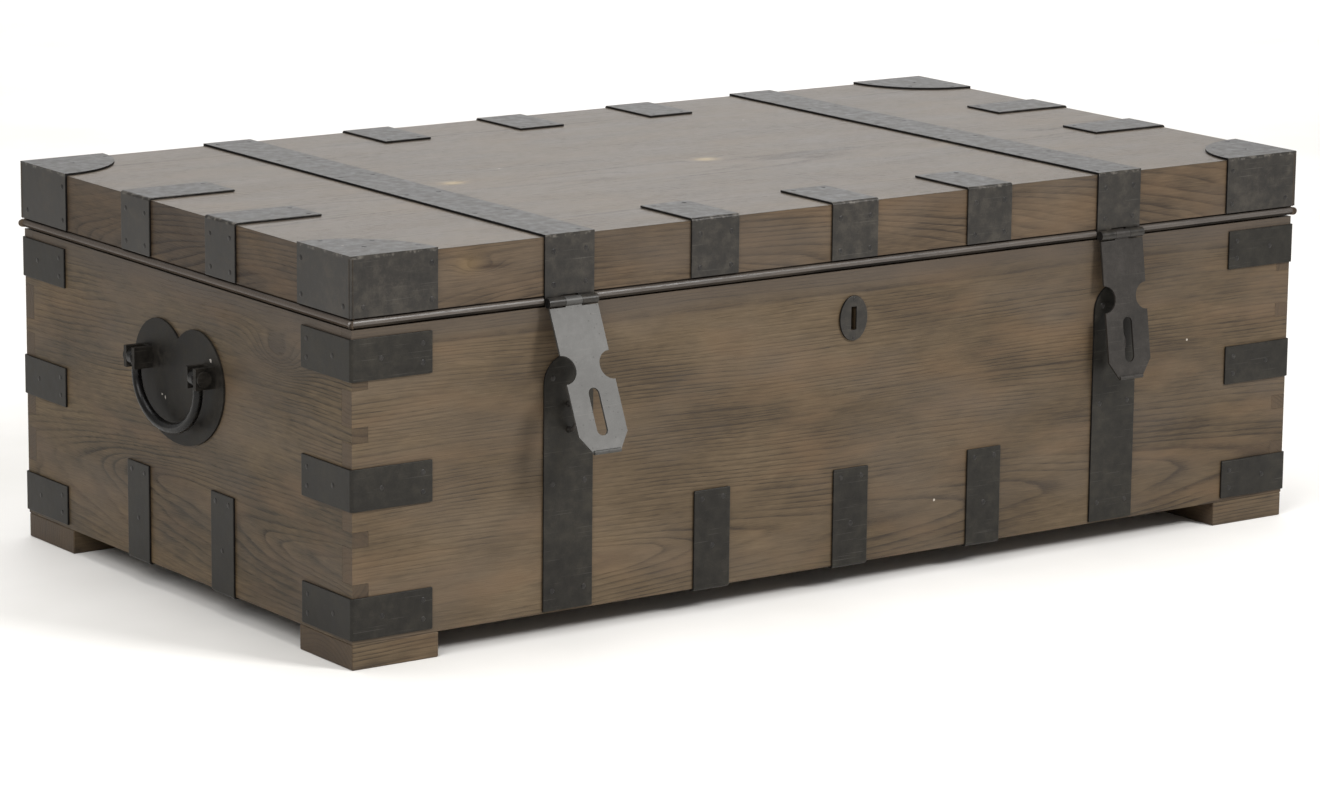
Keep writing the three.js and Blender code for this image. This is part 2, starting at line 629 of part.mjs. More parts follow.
// The bail's centre line: down one leg, round half an ellipse, and up the other leg.
class BailCurve extends THREE.Curve {
  getPoint(t) {
    const bend = BAIL_DROP - BAIL_STRAIGHT;
    const round = (Math.PI * (POST_OFFSET + bend)) / 2;
    const along = t * (2 * BAIL_STRAIGHT + round);
    if (along < BAIL_STRAIGHT) return new THREE.Vector3(-POST_OFFSET, 0, -along);
    if (along > BAIL_STRAIGHT + round)
      return new THREE.Vector3(POST_OFFSET, 0, along - 2 * BAIL_STRAIGHT - round);
    const angle = Math.PI * (1 + (along - BAIL_STRAIGHT) / round);
    const drop = -BAIL_STRAIGHT + bend * Math.sin(angle);
    return new THREE.Vector3(POST_OFFSET * Math.cos(angle), 0, drop);
  }
}

function bail() {
  const pieces = [rod(new BailCurve(), BAIL_ROD, 40, 12)];
  const bores = [];
  for (const x of [-POST_OFFSET, POST_OFFSET]) {
    pieces.push(barAlongX(EYE_RADIUS, x - BAIL_ROD, x + BAIL_ROD, 0, 0));
    bores.push(barAlongX(PIVOT_PIN + RUNNING, x - BAIL_ROD - PAST, x + BAIL_ROD + PAST, 0, 0));
  }
  return cut(join(...pieces), ...bores);
}

for (const [side, face] of [["left", leftEnd], ["right", rightEnd]]) {
  addPiece(`${side}_handle_plate`, handlePlate(), DARK_IRON, face);
  addPiece(`${side}_handle_bail`, bail(), DARK_IRON, face).position.set(0, -PIVOT_OUT, HANDLE_Z);
}

// ---- Lock: keyhole plate outside, case and sliding bolt inside, keeper in the lid ----
const keyholePlate = new THREE.Shape();
keyholePlate.absellipse(0, 0, KEYHOLE_PLATE_WIDTH / 2, KEYHOLE_PLATE_HEIGHT / 2, 0, 2 * Math.PI);
keyholePlate.holes.push(new THREE.Path(keyholeOutline(0).getPoints(12)));
addPiece(
  "keyhole_plate",
  uprightInXZ(keyholePlate, -IRON_OUT, -SEAT).translate(0, 0, KEYHOLE_Z),
  DARK_IRON,
  front,
);

const boltHalf = BOLT_WIDTH / 2;
const boltBottom = LOCK_TOP - BOLT_SUNK - BOLT_HEIGHT;
const boltY = [BOLT_Y - BOLT_THICKNESS / 2, BOLT_Y + BOLT_THICKNESS / 2];
const channelY = [boltY[0] - BOLT_PLAY, boltY[1] + BOLT_PLAY];
const channelX = [-boltHalf - BOLT_PLAY, boltHalf + BOLT_PLAY];
const chamberX = [-boltHalf / 2, boltHalf / 2];
const chamberBottom = KEYHOLE_Z - KEYHOLE_LENGTH / 2 - CHAMBER_MARGIN;
const lockBox = block(
  [-LOCK_WIDTH / 2, LOCK_WIDTH / 2],
  [LOCK_BACK, LOCK_BACK + LOCK_DEPTH],
  [LOCK_TOP - LOCK_HEIGHT, LOCK_TOP],
);
const channel = block(channelX, channelY, [boltBottom - BOLT_PLAY, LOCK_TOP + PAST]);
const chamber = block(chamberX, channelY, [chamberBottom, LOCK_TOP - CHAMBER_ROOF]);
const caseKeyhole = uprightInXZ(keyholeOutline(RUNNING), LOCK_BACK - PAST, BOLT_Y);
addPiece("lock_case", cut(lockBox, channel, chamber, caseKeyhole.translate(0, 0, KEYHOLE_Z)), BRASS);
addPiece("lock_bolt", block([-boltHalf, boltHalf], boltY, [boltBottom, boltBottom + BOLT_HEIGHT]), BRASS);

const keeperTop = LOCK_TOP - BOLT_SUNK + BOLT_THROW + KEEPER_SPARE + KEEPER_WALL;
const keeper = block(
  [-KEEPER_WIDTH / 2, KEEPER_WIDTH / 2],
  [LOCK_BACK, channelY[1] + KEEPER_WALL],
  [LID_BOTTOM + SEAT, keeperTop],
);
const pocket = block(channelX, channelY, [LID_BOTTOM - PAST, keeperTop - KEEPER_WALL]);
addPiece("lock_keeper", cut(keeper, pocket), BRASS);

// The origin lies under the middle of everything that stands on the floor, hasps included.
const extent = new THREE.Box3().setFromObject(chest, true);
chest.position.y = -(extent.min.y + extent.max.y) / 2;

export default chest;
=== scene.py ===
"""Looks for an ironbound oak chest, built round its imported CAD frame.

Every sub-assembly is a class with its sizes as fields: it makes its meshes, dresses them and says what it made.
Lengths are millimetres until they are put into a mesh, where MM turns them to metres.
"""

import logging
import math
from abc import ABC, abstractmethod
from dataclasses import dataclass, field
from enum import Enum
from functools import partial
from typing import Any, Callable, Iterable, Sequence

import bmesh
import bpy
import numpy as np
from mathutils import Matrix, Vector


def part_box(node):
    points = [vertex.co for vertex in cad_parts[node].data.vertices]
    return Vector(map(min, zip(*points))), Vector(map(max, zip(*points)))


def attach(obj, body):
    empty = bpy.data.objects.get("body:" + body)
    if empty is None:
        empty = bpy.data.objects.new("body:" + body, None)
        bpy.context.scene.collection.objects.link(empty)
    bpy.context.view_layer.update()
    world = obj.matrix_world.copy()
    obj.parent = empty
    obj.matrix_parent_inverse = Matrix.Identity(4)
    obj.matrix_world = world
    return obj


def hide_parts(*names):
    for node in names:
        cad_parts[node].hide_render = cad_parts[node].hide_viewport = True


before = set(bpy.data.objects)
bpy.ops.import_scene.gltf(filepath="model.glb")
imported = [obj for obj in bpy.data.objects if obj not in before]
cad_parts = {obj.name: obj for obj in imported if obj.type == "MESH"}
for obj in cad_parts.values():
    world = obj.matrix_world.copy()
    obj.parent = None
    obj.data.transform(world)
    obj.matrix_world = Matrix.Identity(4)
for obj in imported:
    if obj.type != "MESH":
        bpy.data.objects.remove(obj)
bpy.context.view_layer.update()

MM = 0.001
CORNERS = ("front_left", "front_right", "back_right", "back_left")
LOG = logging.getLogger("chest")
Array = np.ndarray
Adder = Callable[..., bpy.types.Node]
Head = tuple[Sequence[float], Sequence[float]]


# ---------------------------------------------------------------- nodes and colours


def linear(hex_colour: str) -> tuple[float, float, float, float]:
    """Turns an sRGB colour into the linear values that shaders take.

    Args:
        hex_colour: six hex digits, as in "64584a".

    Returns:
        Red, green, blue and a full alpha.
    """
    parts = [int(hex_colour[i : i + 2], 16) / 255 for i in (0, 2, 4)]
    values = [p / 12.92 if p <= 0.04045 else ((p + 0.055) / 1.055) ** 2.4 for p in parts]
    return (values[0], values[1], values[2], 1.0)


def add_node(
    tree: bpy.types.NodeTree, kind: str, *values: Any, stops: Sequence[tuple[float, Any]] = (), **settings: Any
) -> bpy.types.Node:
    """Adds one node, with its settings, values and links.

    Args:
        tree: the node tree.
        kind: the node's type without the ShaderNode at its front, then its operation, if it has one.
        values: what goes into its inputs, in their order: numbers, hex colours, sockets, or nodes, which stand
            for their first output in use. A dict names or numbers its inputs.
        stops: a colour ramp's stops, as places from 0 to 1, each with a grey from 0 to 1 or a hex colour.
        settings: the node's own properties.

    Returns:
        The new node.
    """
    family, _, operation = kind.partition(" ")
    made = tree.nodes.new("ShaderNode" + family)
    if operation:
        settings["operation"] = operation
    for key, value in settings.items():
        setattr(made, key, value)
    inputs: dict[Any, Any] = {}
    for number, value in enumerate(values):
        inputs.update(value if isinstance(value, dict) else {number: value})
    for key, value in inputs.items():
        if isinstance(value, bpy.types.Node):
            value = next(output for output in value.outputs if output.enabled)
        if isinstance(value, bpy.types.NodeSocket):
            tree.links.new(value, made.inputs[key])
        else:
            made.inputs[key].default_value = linear(value) if isinstance(value, str) else value
    for _ in stops[2:]:
        made.color_ramp.elements.new(1.0)
    for number, (place, value) in enumerate(stops):
        element = made.color_ramp.elements[number]
        element.position = place
        element.color = linear(value) if isinstance(value, str) else (value, value, value, 1.0)
    return made


# ---------------------------------------------------------------- finishes


class Finish(ABC):
    """A finish that can be put on a piece."""

    name: str

    @abstractmethod
    def shade(self, add: Adder) -> bpy.types.Node:
        """Adds the finish's patterns and gives the shader that they drive."""

    def material(self) -> bpy.types.Material:
        """Makes the material once, and gives the same one afterwards.

        Returns:
            The material.
        """
        found = bpy.data.materials.get(self.name)
        if found:
            return found
        made = bpy.data.materials.new(self.name)
        made.use_nodes = True
        made.node_tree.nodes.clear()
        add = partial(add_node, made.node_tree)
        add("OutputMaterial", self.shade(add))
        return made


class Grain(Enum):
    """How a board lies: the axis along its grain, the axis across its face, and the axis through it."""

    LONG_SIDE = (0, 2, 1)
    END_SIDE = (1, 2, 0)
    TOP = (0, 1, 2)


@dataclass(frozen=True)
class Knot:
    """A knot or eye in a board, round which the rings bend: its place and reach in millimetres, and its heart."""

    along: float
    across: float
    reach_along: float
    reach_across: float
    lift: float
    heart: str = "43362a"
    strength: float = 0.55


@dataclass(frozen=True)
class StainedOak(Finish):
    """Flat-sawn oak, stained grey-brown and given a thin satin lacquer.

    The board is cut from a log whose rings are cylinders round a pith line. The distance from that line, bent
    by a slow noise, gives the rings; where the face crosses them at a low angle they open into long arches.
    Oak is ring-porous, so each ring starts with a band of open pores that holds more stain.
    """

    name: str
    grain: Grain
    pith_across: float
    pith_depth: float
    tilt: float = 0.05
    ring_width: float = 4.4
    wander: float = 13.0
    dark: str = "2f261c"
    middle: str = "4c3f2e"
    light: str = "635440"
    ochre: float = 0.42
    contrast: float = 1.0
    roughness: float = 0.5
    gloss: float = 0.25
    seed: float = 0.0
    painted_falloff: float = 0.0
    # Height of the lid's lower edge, under which the painted shade band is laid; 0 for none.
    rim: float = 0.0
    knots: tuple[Knot, ...] = ()

    def shade(self, add: Adder) -> bpy.types.Node:
        """Builds rings, pores, fibres and tone, and drives colour, roughness and bump with them.

        Args:
            add: adds one node to the material.

        Returns:
            The shader.
        """
        place = add("TexCoord").outputs
        spot = add("SeparateXYZ", add("VectorMath SCALE", place["Object"], {"Scale": 1 / MM})).outputs
        along, across, through = (spot[i] for i in self.grain.value)
        board = add("CombineXYZ", along, across, through)

        def noise(cell: tuple[float, float, float], detail: float, shift: float = 0.0, source: Any = board) -> Any:
            """Adds a noise whose cells have these lengths in millimetres along, across and through the board."""
            start = (shift + self.seed, shift * 0.7, self.seed * 1.3)
            scaled = add("Mapping", source, {"Location": start, "Scale": tuple(1 / c for c in cell)})
            return add("TexNoise", {"Vector": scaled, "Scale": 1.0, "Detail": detail, "Roughness": 0.55})

        # Slow bends of the whole ring pattern, then smaller waves of a few centimetres.
        bent = board
        for cell, shift, reach in (((620, 120, 120), 0.0, self.wander * 2), ((95, 26, 26), 7.0, self.wander * 0.24)):
            bend = add("VectorMath SUBTRACT", noise(cell, 2.0, shift).outputs["Color"], (0.5, 0.5, 0.5))
            bent = add("VectorMath ADD", bent, add("VectorMath MULTIPLY", bend, (0, reach, reach)))
        _, bent_across, bent_through = add("SeparateXYZ", bent).outputs

        # Distance from the pith line, which the knots push out or draw in.
        aside = add("Math SUBTRACT", bent_across, self.pith_across)
        below = add("Math ADD", add("Math MULTIPLY", along, self.tilt), self.pith_depth)
        below = add("Math ADD", below, bent_through)
        square = add("Math ADD", add("Math MULTIPLY", aside, aside), add("Math MULTIPLY", below, below))
        radius = add("Math SQRT", square)
        swells = []
        for knot in self.knots:
            u = add("Math DIVIDE", add("Math SUBTRACT", along, knot.along), knot.reach_along)
            v = add("Math DIVIDE", add("Math SUBTRACT", bent_across, knot.across), knot.reach_across)
            square = add("Math ADD", add("Math MULTIPLY", u, u), add("Math MULTIPLY", v, v))
            swells.append(add("Math POWER", math.e, add("Math MULTIPLY", square, -1.0)))
            radius = add("Math ADD", radius, add("Math MULTIPLY", swells[-1], knot.lift))

        # Ring widths vary from year to year, so the phase runs ahead and behind with the radius.
        year = add("Math DIVIDE", radius, self.ring_width * 4)
        years = add("TexNoise", {"W": year, "Scale": 1.0, "Detail": 1.0}, noise_dimensions="1D")
        phase = add("Math ADD", add("Math DIVIDE", radius, self.ring_width), add("Math MULTIPLY", years, 2.4))
        band = [(0.0, 0.15), (0.08, 1.0), (0.22, 0.55), (0.44, 0.12), (0.95, 0.0), (1.0, 0.15)]
        early = add("ValToRGB", add("Math FRACT", phase), stops=band)
        strength = add("ValToRGB", noise((180, 52, 52), 2.0, 3.0), stops=[(0.4, 0.25), (0.6, 1.0)])
        for swell in swells:
            strength = add("Math MAXIMUM", strength, add("Math MULTIPLY", swell, 1.3))
        early = add("Math MULTIPLY", early, strength)

        # Fibres and open pores follow the bent grain; patches and blotches are where the stain was wiped unevenly.
        fibre = noise((30, 1.1, 1.1), 4.0, 11.0, bent)
        pores = add("ValToRGB", noise((14, 0.8, 0.8), 1.0, 19.0, bent), stops=[(0.57, 0.0), (0.66, 1.0)])
        pores = add("Math MULTIPLY", pores, add("Math MULTIPLY_ADD", early, 0.75, 0.25))
        patch = noise((150, 60, 60), 4.0, 23.0)
        tone = add("Math MULTIPLY_ADD", early, -0.5 * self.contrast, 0.56)
        for pattern, weight in ((fibre, 0.75), (patch, 1.05), (noise((24, 9, 9), 3.0, 29.0), 0.4)):
            swing = add("Math MULTIPLY", add("Math SUBTRACT", pattern, 0.5), weight * self.contrast)
            tone = add("Math ADD", tone, swing)
        tone = add("Math SUBTRACT", tone, add("Math MULTIPLY", pores, 0.22 * self.contrast))
        # Painted shade: the board darkens steadily along the grain, towards its right-hand end.
        tone = add("Math SUBTRACT", tone, add("Math MULTIPLY", along, self.painted_falloff / 600))
        colour = add("ValToRGB", tone, stops=[(0.1, self.dark), (0.52, self.middle), (0.95, self.light)])

        # The stain took less on some bands, which stay a warmer ochre; elsewhere wax and dust have greyed it.
        warm = add("ValToRGB", noise((130, 36, 36), 2.0, 31.0), stops=[(0.5, 0.0), (0.72, self.ochre)])
        dusty = add("ValToRGB", noise((210, 80, 80), 3.0, 41.0), stops=[(0.45, 0.0), (0.68, 0.35)])
        layers = [(warm, "65503a"), (dusty, "544b42")]
        for swell, knot in zip(swells, self.knots):
            heart = add("Math MULTIPLY", add("Math POWER", swell, 3.0), knot.strength, use_clamp=True)
            layers.append((heart, knot.heart))
        # End grain drinks the stain and goes darker.
        facing = add("Math ABSOLUTE", add("SeparateXYZ", place["Normal"]).outputs[self.grain.value[0]])
        layers.append((add("ValToRGB", facing, stops=[(0.6, 0.0), (0.8, 0.55)]), "3d3126"))
        # Darker towards the foot of the body, in uneven patches.
        foot_darkening = add("Math ADD", add("Math MULTIPLY", spot[2], 1 / 26.0), add("Math MULTIPLY", patch, 0.8))
        layers.append((add("ValToRGB", foot_darkening, stops=[(0.2, 0.35), (1.0, 0.0)]), "3a2f25"))
        if self.rim:
            # Painted shade: a greyer, darker band on the boards just under the lid's bead, for the shadow of its
            # overhang.
            under = add("Math MULTIPLY_ADD", spot[2], 1 / 34.0, 1 - self.rim / 34.0)
            under = add("Math ADD", under, add("Math MULTIPLY", patch, 0.5))
            layers.append((add("ValToRGB", under, stops=[(0.45, 0.0), (1.2, 0.6)]), "423b35"))
        # A few flecks of pale paint or plaster dust.
        fleck = add("Math LESS_THAN", add("TexVoronoi", {"Vector": bent, "Scale": 1 / 38.0}), 0.034)
        cells = add("TexVoronoi", {"Vector": board, "Scale": 1 / 38.0}).outputs["Color"]
        fleck = add("Math MULTIPLY", fleck, add("Math GREATER_THAN", add("SeparateColor", cells), 0.9))
        layers.append((add("Math MULTIPLY", fleck, 0.7), "b8b0a4"))
        for amount, stain in layers:
            colour = add("Mix", {0: amount, 6: colour, 7: stain}, data_type="RGBA")

        rough = add("Math MULTIPLY_ADD", pores, 0.16, self.roughness)
        rough = add("Math ADD", rough, add("Math MULTIPLY", add("Math SUBTRACT", patch, 0.5), 0.22))
        relief = add("Math MULTIPLY_ADD", early, -0.5, add("Math MULTIPLY", fibre, 0.7))
        relief = add("Math SUBTRACT", relief, pores)
        bump = add("Bump", {"Strength": 0.55, "Distance": 0.28 * MM, "Height": relief})
        surface = {"Base Color": colour, "Roughness": rough, "Normal": bump, "Specular IOR Level": self.gloss}
        return add("BsdfPrincipled", surface)


@dataclass(frozen=True)
class BlackenedIron(Finish):
    """Hot-rolled sheet iron, heated and oiled black: a mottled scale with fine pits and rubbed patches.

    Where the lid's irons turn over its edge, fold is the height of their level tops.
    """

    name: str
    dark: str = "1a1815"
    middle: str = "25221e"
    light: str = "35312b"
    metallic: float = 0.1
    roughness: float = 0.38
    gloss: float = 0.34
    mottling: float = 2.2
    dents: float = 0.22
    cell: float = 11.0
    specks: float = 0.0
    fold: float = 0.0

    def shade(self, add: Adder) -> bpy.types.Node:
        """Builds the mottling, the pits, the rubbed patches and the flecks of paint.

        Args:
            add: adds one node to the material.

        Returns:
            The shader.
        """
        spot = add("VectorMath SCALE", add("TexCoord").outputs["Object"], {"Scale": 1 / MM})

        def noise(cell: float, detail: float, roughness: float = 0.6) -> Any:
            """Adds a noise whose cells are this many millimetres."""
            return add("TexNoise", {"Vector": spot, "Scale": 1 / cell, "Detail": detail, "Roughness": roughness})

        mottle = noise(self.cell, 5.0, 0.65)
        grit = noise(1.5, 2.0)
        tone = add("Math MULTIPLY_ADD", add("Math SUBTRACT", mottle, 0.5), self.mottling, 0.5)
        for pattern, weight in ((noise(70.0, 2.0), 0.9), (grit, 0.5)):
            tone = add("Math ADD", tone, add("Math MULTIPLY", add("Math SUBTRACT", pattern, 0.5), weight))
        colour = add("ValToRGB", tone, stops=[(0.1, self.dark), (0.5, self.middle), (0.92, self.light)])

        # Long hairline scratches.
        streak = add("Mapping", spot, {"Rotation": (0.4, 0.3, 0.9), "Scale": (1 / 60, 1 / 0.7, 1 / 0.7)})
        streak = add("TexNoise", {"Vector": streak, "Scale": 1.0, "Detail": 1.0})
        scratch = add("ValToRGB", streak, stops=[(0.7, 0.0), (0.76, 1.0)])
        layers = [(add("Math MULTIPLY", scratch, 0.22), "77736d")]
        if self.specks:
            # Small dark pits where the scale has stayed on rubbed metal.
            pits = add("TexVoronoi", {"Vector": spot, "Scale": 1 / 4.2})
            some = add("Math GREATER_THAN", add("SeparateColor", pits.outputs["Color"]), 0.72)
            small = add("Math MULTIPLY", add("Math LESS_THAN", pits, 0.16), some)
            layers.append((add("Math MULTIPLY", small, self.specks), "211f1d"))
        if self.fold:
            # Hands and cloths have rubbed the scale off here and there along the fold, just under the level top.
            height = add("SeparateXYZ", spot).outputs[2]
            bend = add("Math MULTIPLY_ADD", height, 0.25, 1 - self.fold * 0.25)
            bend = add("ValToRGB", bend, stops=[(0.0, 0.0), (0.4, 1.0), (0.93, 1.0), (0.985, 0.0)])
            rubbed = add("ValToRGB", noise(13.0, 4.0, 0.7), stops=[(0.5, 0.0), (0.6, 1.0)])
            layers.append((add("Math MULTIPLY", add("Math MULTIPLY", bend, rubbed), 0.4), "7b766f"))
        # Flecks of pale paint, torn at their edges.
        torn = add("TexNoise", {"Vector": spot, "Scale": 1 / 5.0}).outputs["Color"]
        torn = add("VectorMath ADD", spot, add("VectorMath SCALE", torn, {"Scale": 7.0}))
        paint = add("Math LESS_THAN", add("TexVoronoi", {"Vector": torn, "Scale": 1 / 30.0}), 0.055)
        cells = add("TexVoronoi", {"Vector": spot, "Scale": 1 / 30.0}).outputs["Color"]
        chosen = add("Math GREATER_THAN", add("SeparateColor", cells).outputs[1], 0.93)
        paint = add("Math MULTIPLY", add("Math MULTIPLY", paint, chosen), 0.7)
        layers.append((paint, "b4aea6"))
        for amount, stain in layers:
            colour = add("Mix", {0: amount, 6: colour, 7: stain}, data_type="RGBA")

        rough = add("Math MULTIPLY_ADD", add("Math SUBTRACT", mottle, 0.5), self.mottling / 5, self.roughness)
        rough = add("Math ADD", rough, add("Math MULTIPLY", paint, 0.3))
        hammer = add("TexVoronoi", {"Vector": spot, "Scale": 1 / 9.0, "Smoothness": 1.0}, feature="SMOOTH_F1")
        relief = add("Math ADD", add("Math MULTIPLY", hammer, 0.7), add("Math MULTIPLY", grit, 0.14))
        relief = add("Math ADD", relief, add("Math MULTIPLY", mottle, 0.35))
        bump = add("Bump", {"Strength": self.dents, "Distance": 0.5 * MM, "Height": relief})
        surface = {"Base Color": colour, "Roughness": rough, "Normal": bump}
        return add("BsdfPrincipled", surface, {"Metallic": self.metallic, "Specular IOR Level": self.gloss})


@dataclass(frozen=True)
class DullBrass(Finish):
    """Cast brass gone dull: brown tarnish in clouds over a yellow metal."""

    name: str = "tarnished_cast_brass"

    def shade(self, add: Adder) -> bpy.types.Node:
        """Builds the tarnish and the cast surface's fine grain.

        Args:
            add: adds one node to the material.

        Returns:
            The shader.
        """
        spot = add("VectorMath SCALE", add("TexCoord").outputs["Object"], {"Scale": 1 / MM})
        cloud = add("TexNoise", {"Vector": spot, "Scale": 1 / 14.0, "Detail": 4.0})
        grit = add("TexNoise", {"Vector": spot, "Scale": 1 / 0.9, "Detail": 2.0})
        colour = add("ValToRGB", cloud, stops=[(0.3, "4f3f22"), (0.55, "84693a"), (0.8, "a98c52")])
        rough = add("Math MULTIPLY_ADD", cloud, -0.3, 0.56)
        bump = add("Bump", {"Strength": 0.3, "Distance": 0.15 * MM, "Height": grit})
        return add("BsdfPrincipled", {"Base Color": colour, "Roughness": rough, "Normal": bump, "Metallic": 1.0})


@dataclass(frozen=True)
class StudioFloor(Finish):
    """A smooth pale floor, a little scuffed."""

    name: str = "pale_studio_floor"

    def shade(self, add: Adder) -> bpy.types.Node:
        """Builds the floor's faint clouds and scuffs.

        Args:
            add: adds one node to the material.

        Returns:
            The shader.
        """
        cloud = add("TexNoise", {"Vector": add("TexCoord").outputs["Object"], "Scale": 2.2, "Detail": 5.0})
        colour = add("ValToRGB", cloud, stops=[(0.35, "e3e1dd"), (0.65, "eeece9")])
        rough = add("Math MULTIPLY_ADD", cloud, 0.2, 0.55)
        return add("BsdfPrincipled", {"Base Color": colour, "Roughness": rough, "Specular IOR Level": 0.25})


FACE_IRON = BlackenedIron("blackened_sheet_iron", fold=405.0)
BODY_IRON = BlackenedIron(
    "blackened_body_iron", "171512", "211f1b", "2d2a24", mottling=1.5, roughness=0.44, gloss=0.22, dents=0.3
)
PLATE_IRON = BlackenedIron(
    "blackened_handle_plate", "131110", "1d1b18", "282521", metallic=0.0, roughness=0.5, gloss=0.12, dents=0.2
)
# Painted shade: the irons' sheared sides are near black, for the shade on these narrow faces and in the gap under
# each plate.
EDGE_SHADE_IRON = BlackenedIron(
    "iron_edge_painted_shade", "0a0908", "12100f", "1d1b19", metallic=0.0, roughness=0.65, gloss=0.15
)
NAIL_IRON = BlackenedIron("oiled_nail_iron", "171514", "211f1d", "302d2a", metallic=0.2, roughness=0.42, cell=5.0)
FORGED_IRON = BlackenedIron(
    "forged_black_iron", "070706", "0b0a0a", "13120f", 0.0, roughness=0.3, gloss=0.22, dents=0.15, cell=9.0
)
# Partly painted highlight: a lighter copy of the right hasp's iron, for the light that the left hasp reflects, with
# the pits of rubbed metal.
RUBBED_LIT_IRON = BlackenedIron(
    "rubbed_iron_painted_highlight", "444341", "4b4a48", "535250", 0.5, 0.5, mottling=1.1, dents=0.25, cell=6.0, specks=0.6
)
GREY_IRON = BlackenedIron(
    "rubbed_grey_iron", "211f1d", "2e2b28", "3d3936", 0.3, 0.45, mottling=0.8, dents=0.2, cell=7.0, specks=0.5
)


# ---------------------------------------------------------------- surfaces


def make_mesh(
    name: str, vertices: Array, faces: Sequence[Sequence[int]], groups: Array | None = None, crease: float = 50.0
) -> bpy.types.Object:
    """Puts a surface into a new object at the origin, shaded smooth across all but its sharp edges.

    Args:
        name: the piece's name.
        vertices: places in millimetres, one row each.
        faces: vertex numbers of each face, seen from outside anticlockwise.
        groups: material slot number of each face, or None for 0.
        crease: angle in degrees past which an edge stays sharp.

    Returns:
        The object, linked to the scene.
    """
    mesh = bpy.data.meshes.new(name)
    mesh.from_pydata((np.asarray(vertices) * MM).tolist(), [], [list(f) for f in faces])
    if groups is not None:
        mesh.polygons.foreach_set("material_index", np.asarray(groups, np.int32))
    mesh.polygons.foreach_set("use_smooth", np.ones(len(mesh.polygons), bool))
    mesh.update()
    mesh.set_sharp_from_angle(angle=math.radians(crease))
    made = bpy.data.objects.new(name, mesh)
    bpy.context.scene.collection.objects.link(made)
    return made


def grid_faces(rows: int, columns: int) -> Array:
    """Gives the quads of a grid that closes on itself from its last column to its first.

    Args:
        rows: stations along the path.
        columns: points round the profile.

    Returns:
        One row of four vertex numbers per quad.
    """
    i, j = np.meshgrid(np.arange(rows - 1), np.arange(columns), indexing="ij")
    here, there, after = i * columns, (i + 1) * columns, (j + 1) % columns
    return np.stack([here + j, here + after, there + after, there + j], -1).reshape(-1, 4)


def capped(rows: int, columns: int) -> list[list[int]]:
    """Closes a grid of rings with one face at each end.

    Args:
        rows: stations along the path.
        columns: points round the profile.

    Returns:
        All of the faces, the two end faces last.
    """
    ends = [list(range(columns))[::-1], list(range((rows - 1) * columns, rows * columns))]
    return grid_faces(rows, columns).tolist() + ends


def rounded_section(width: float, thickness: float, rim: float, steps: int = 3, guard: float = 0.3) -> Array:
    """Gives a rectangle with quarter-round corners, anticlockwise from its right-hand side.

    Each corner has one more point on the flat before and after it, so that the flats shade flat.

    Args:
        width: size along the first axis.
        thickness: size along the second axis.
        rim: radius of the corners.
        steps: points on each corner's arc.
        guard: distance of the extra points from the arc.

    Returns:
        One row of two numbers per point.
    """
    angles = (np.arange(4)[:, None] * 90 + np.linspace(0, 90, steps)[None, :]) * math.pi / 180
    middles = np.array([[1, 1], [-1, 1], [-1, -1], [1, -1]]) * (np.array([width, thickness]) / 2 - rim)
    ring = np.stack([np.cos(angles), np.sin(angles)], -1) * rim + middles[:, None, :]
    turned = np.stack([-np.sin(angles), np.cos(angles)], -1) * guard
    ring = np.concatenate([ring[:, :1] - turned[:, :1], ring, ring[:, -1:] + turned[:, -1:]], 1)
    return ring.reshape(-1, 2)


def filleted_path(corners: Array, radius: float, steps: int = 6) -> tuple[Array, Array]:
    """Rounds a path's inner corners with arcs.

    Each arc touches both straight runs at radius x tan(half the turn) from the corner.

    Args:
        corners: the path's corner points, one row each.
        radius: radius of the arcs on the centre line.
        steps: points on each arc.

    Returns:
        The points, and the unit direction of the path at each.
    """
    points, directions = [corners[0]], [corners[1] - corners[0]]
    for before, corner, after in zip(corners[:-2], corners[1:-1], corners[2:]):
        a = (before - corner) / np.linalg.norm(before - corner)
        b = (after - corner) / np.linalg.norm(after - corner)
        half = math.acos(float(np.clip(-a @ b, -1, 1))) / 2
        inward = (a + b) / np.linalg.norm(a + b)
        middle = corner + inward * radius / math.cos(half)
        side = (b - a) / np.linalg.norm(b - a)
        turn = np.linspace(-half, half, steps)[:, None]
        points += list(middle - radius * (np.cos(turn) * inward - np.sin(turn) * side))
        directions += list(np.cos(turn) * side + np.sin(turn) * inward)
    points.append(corners[-1])
    directions.append(corners[-1] - corners[-2])
    made = np.array(directions)
    return np.array(points), made / np.linalg.norm(made, axis=1, keepdims=True)


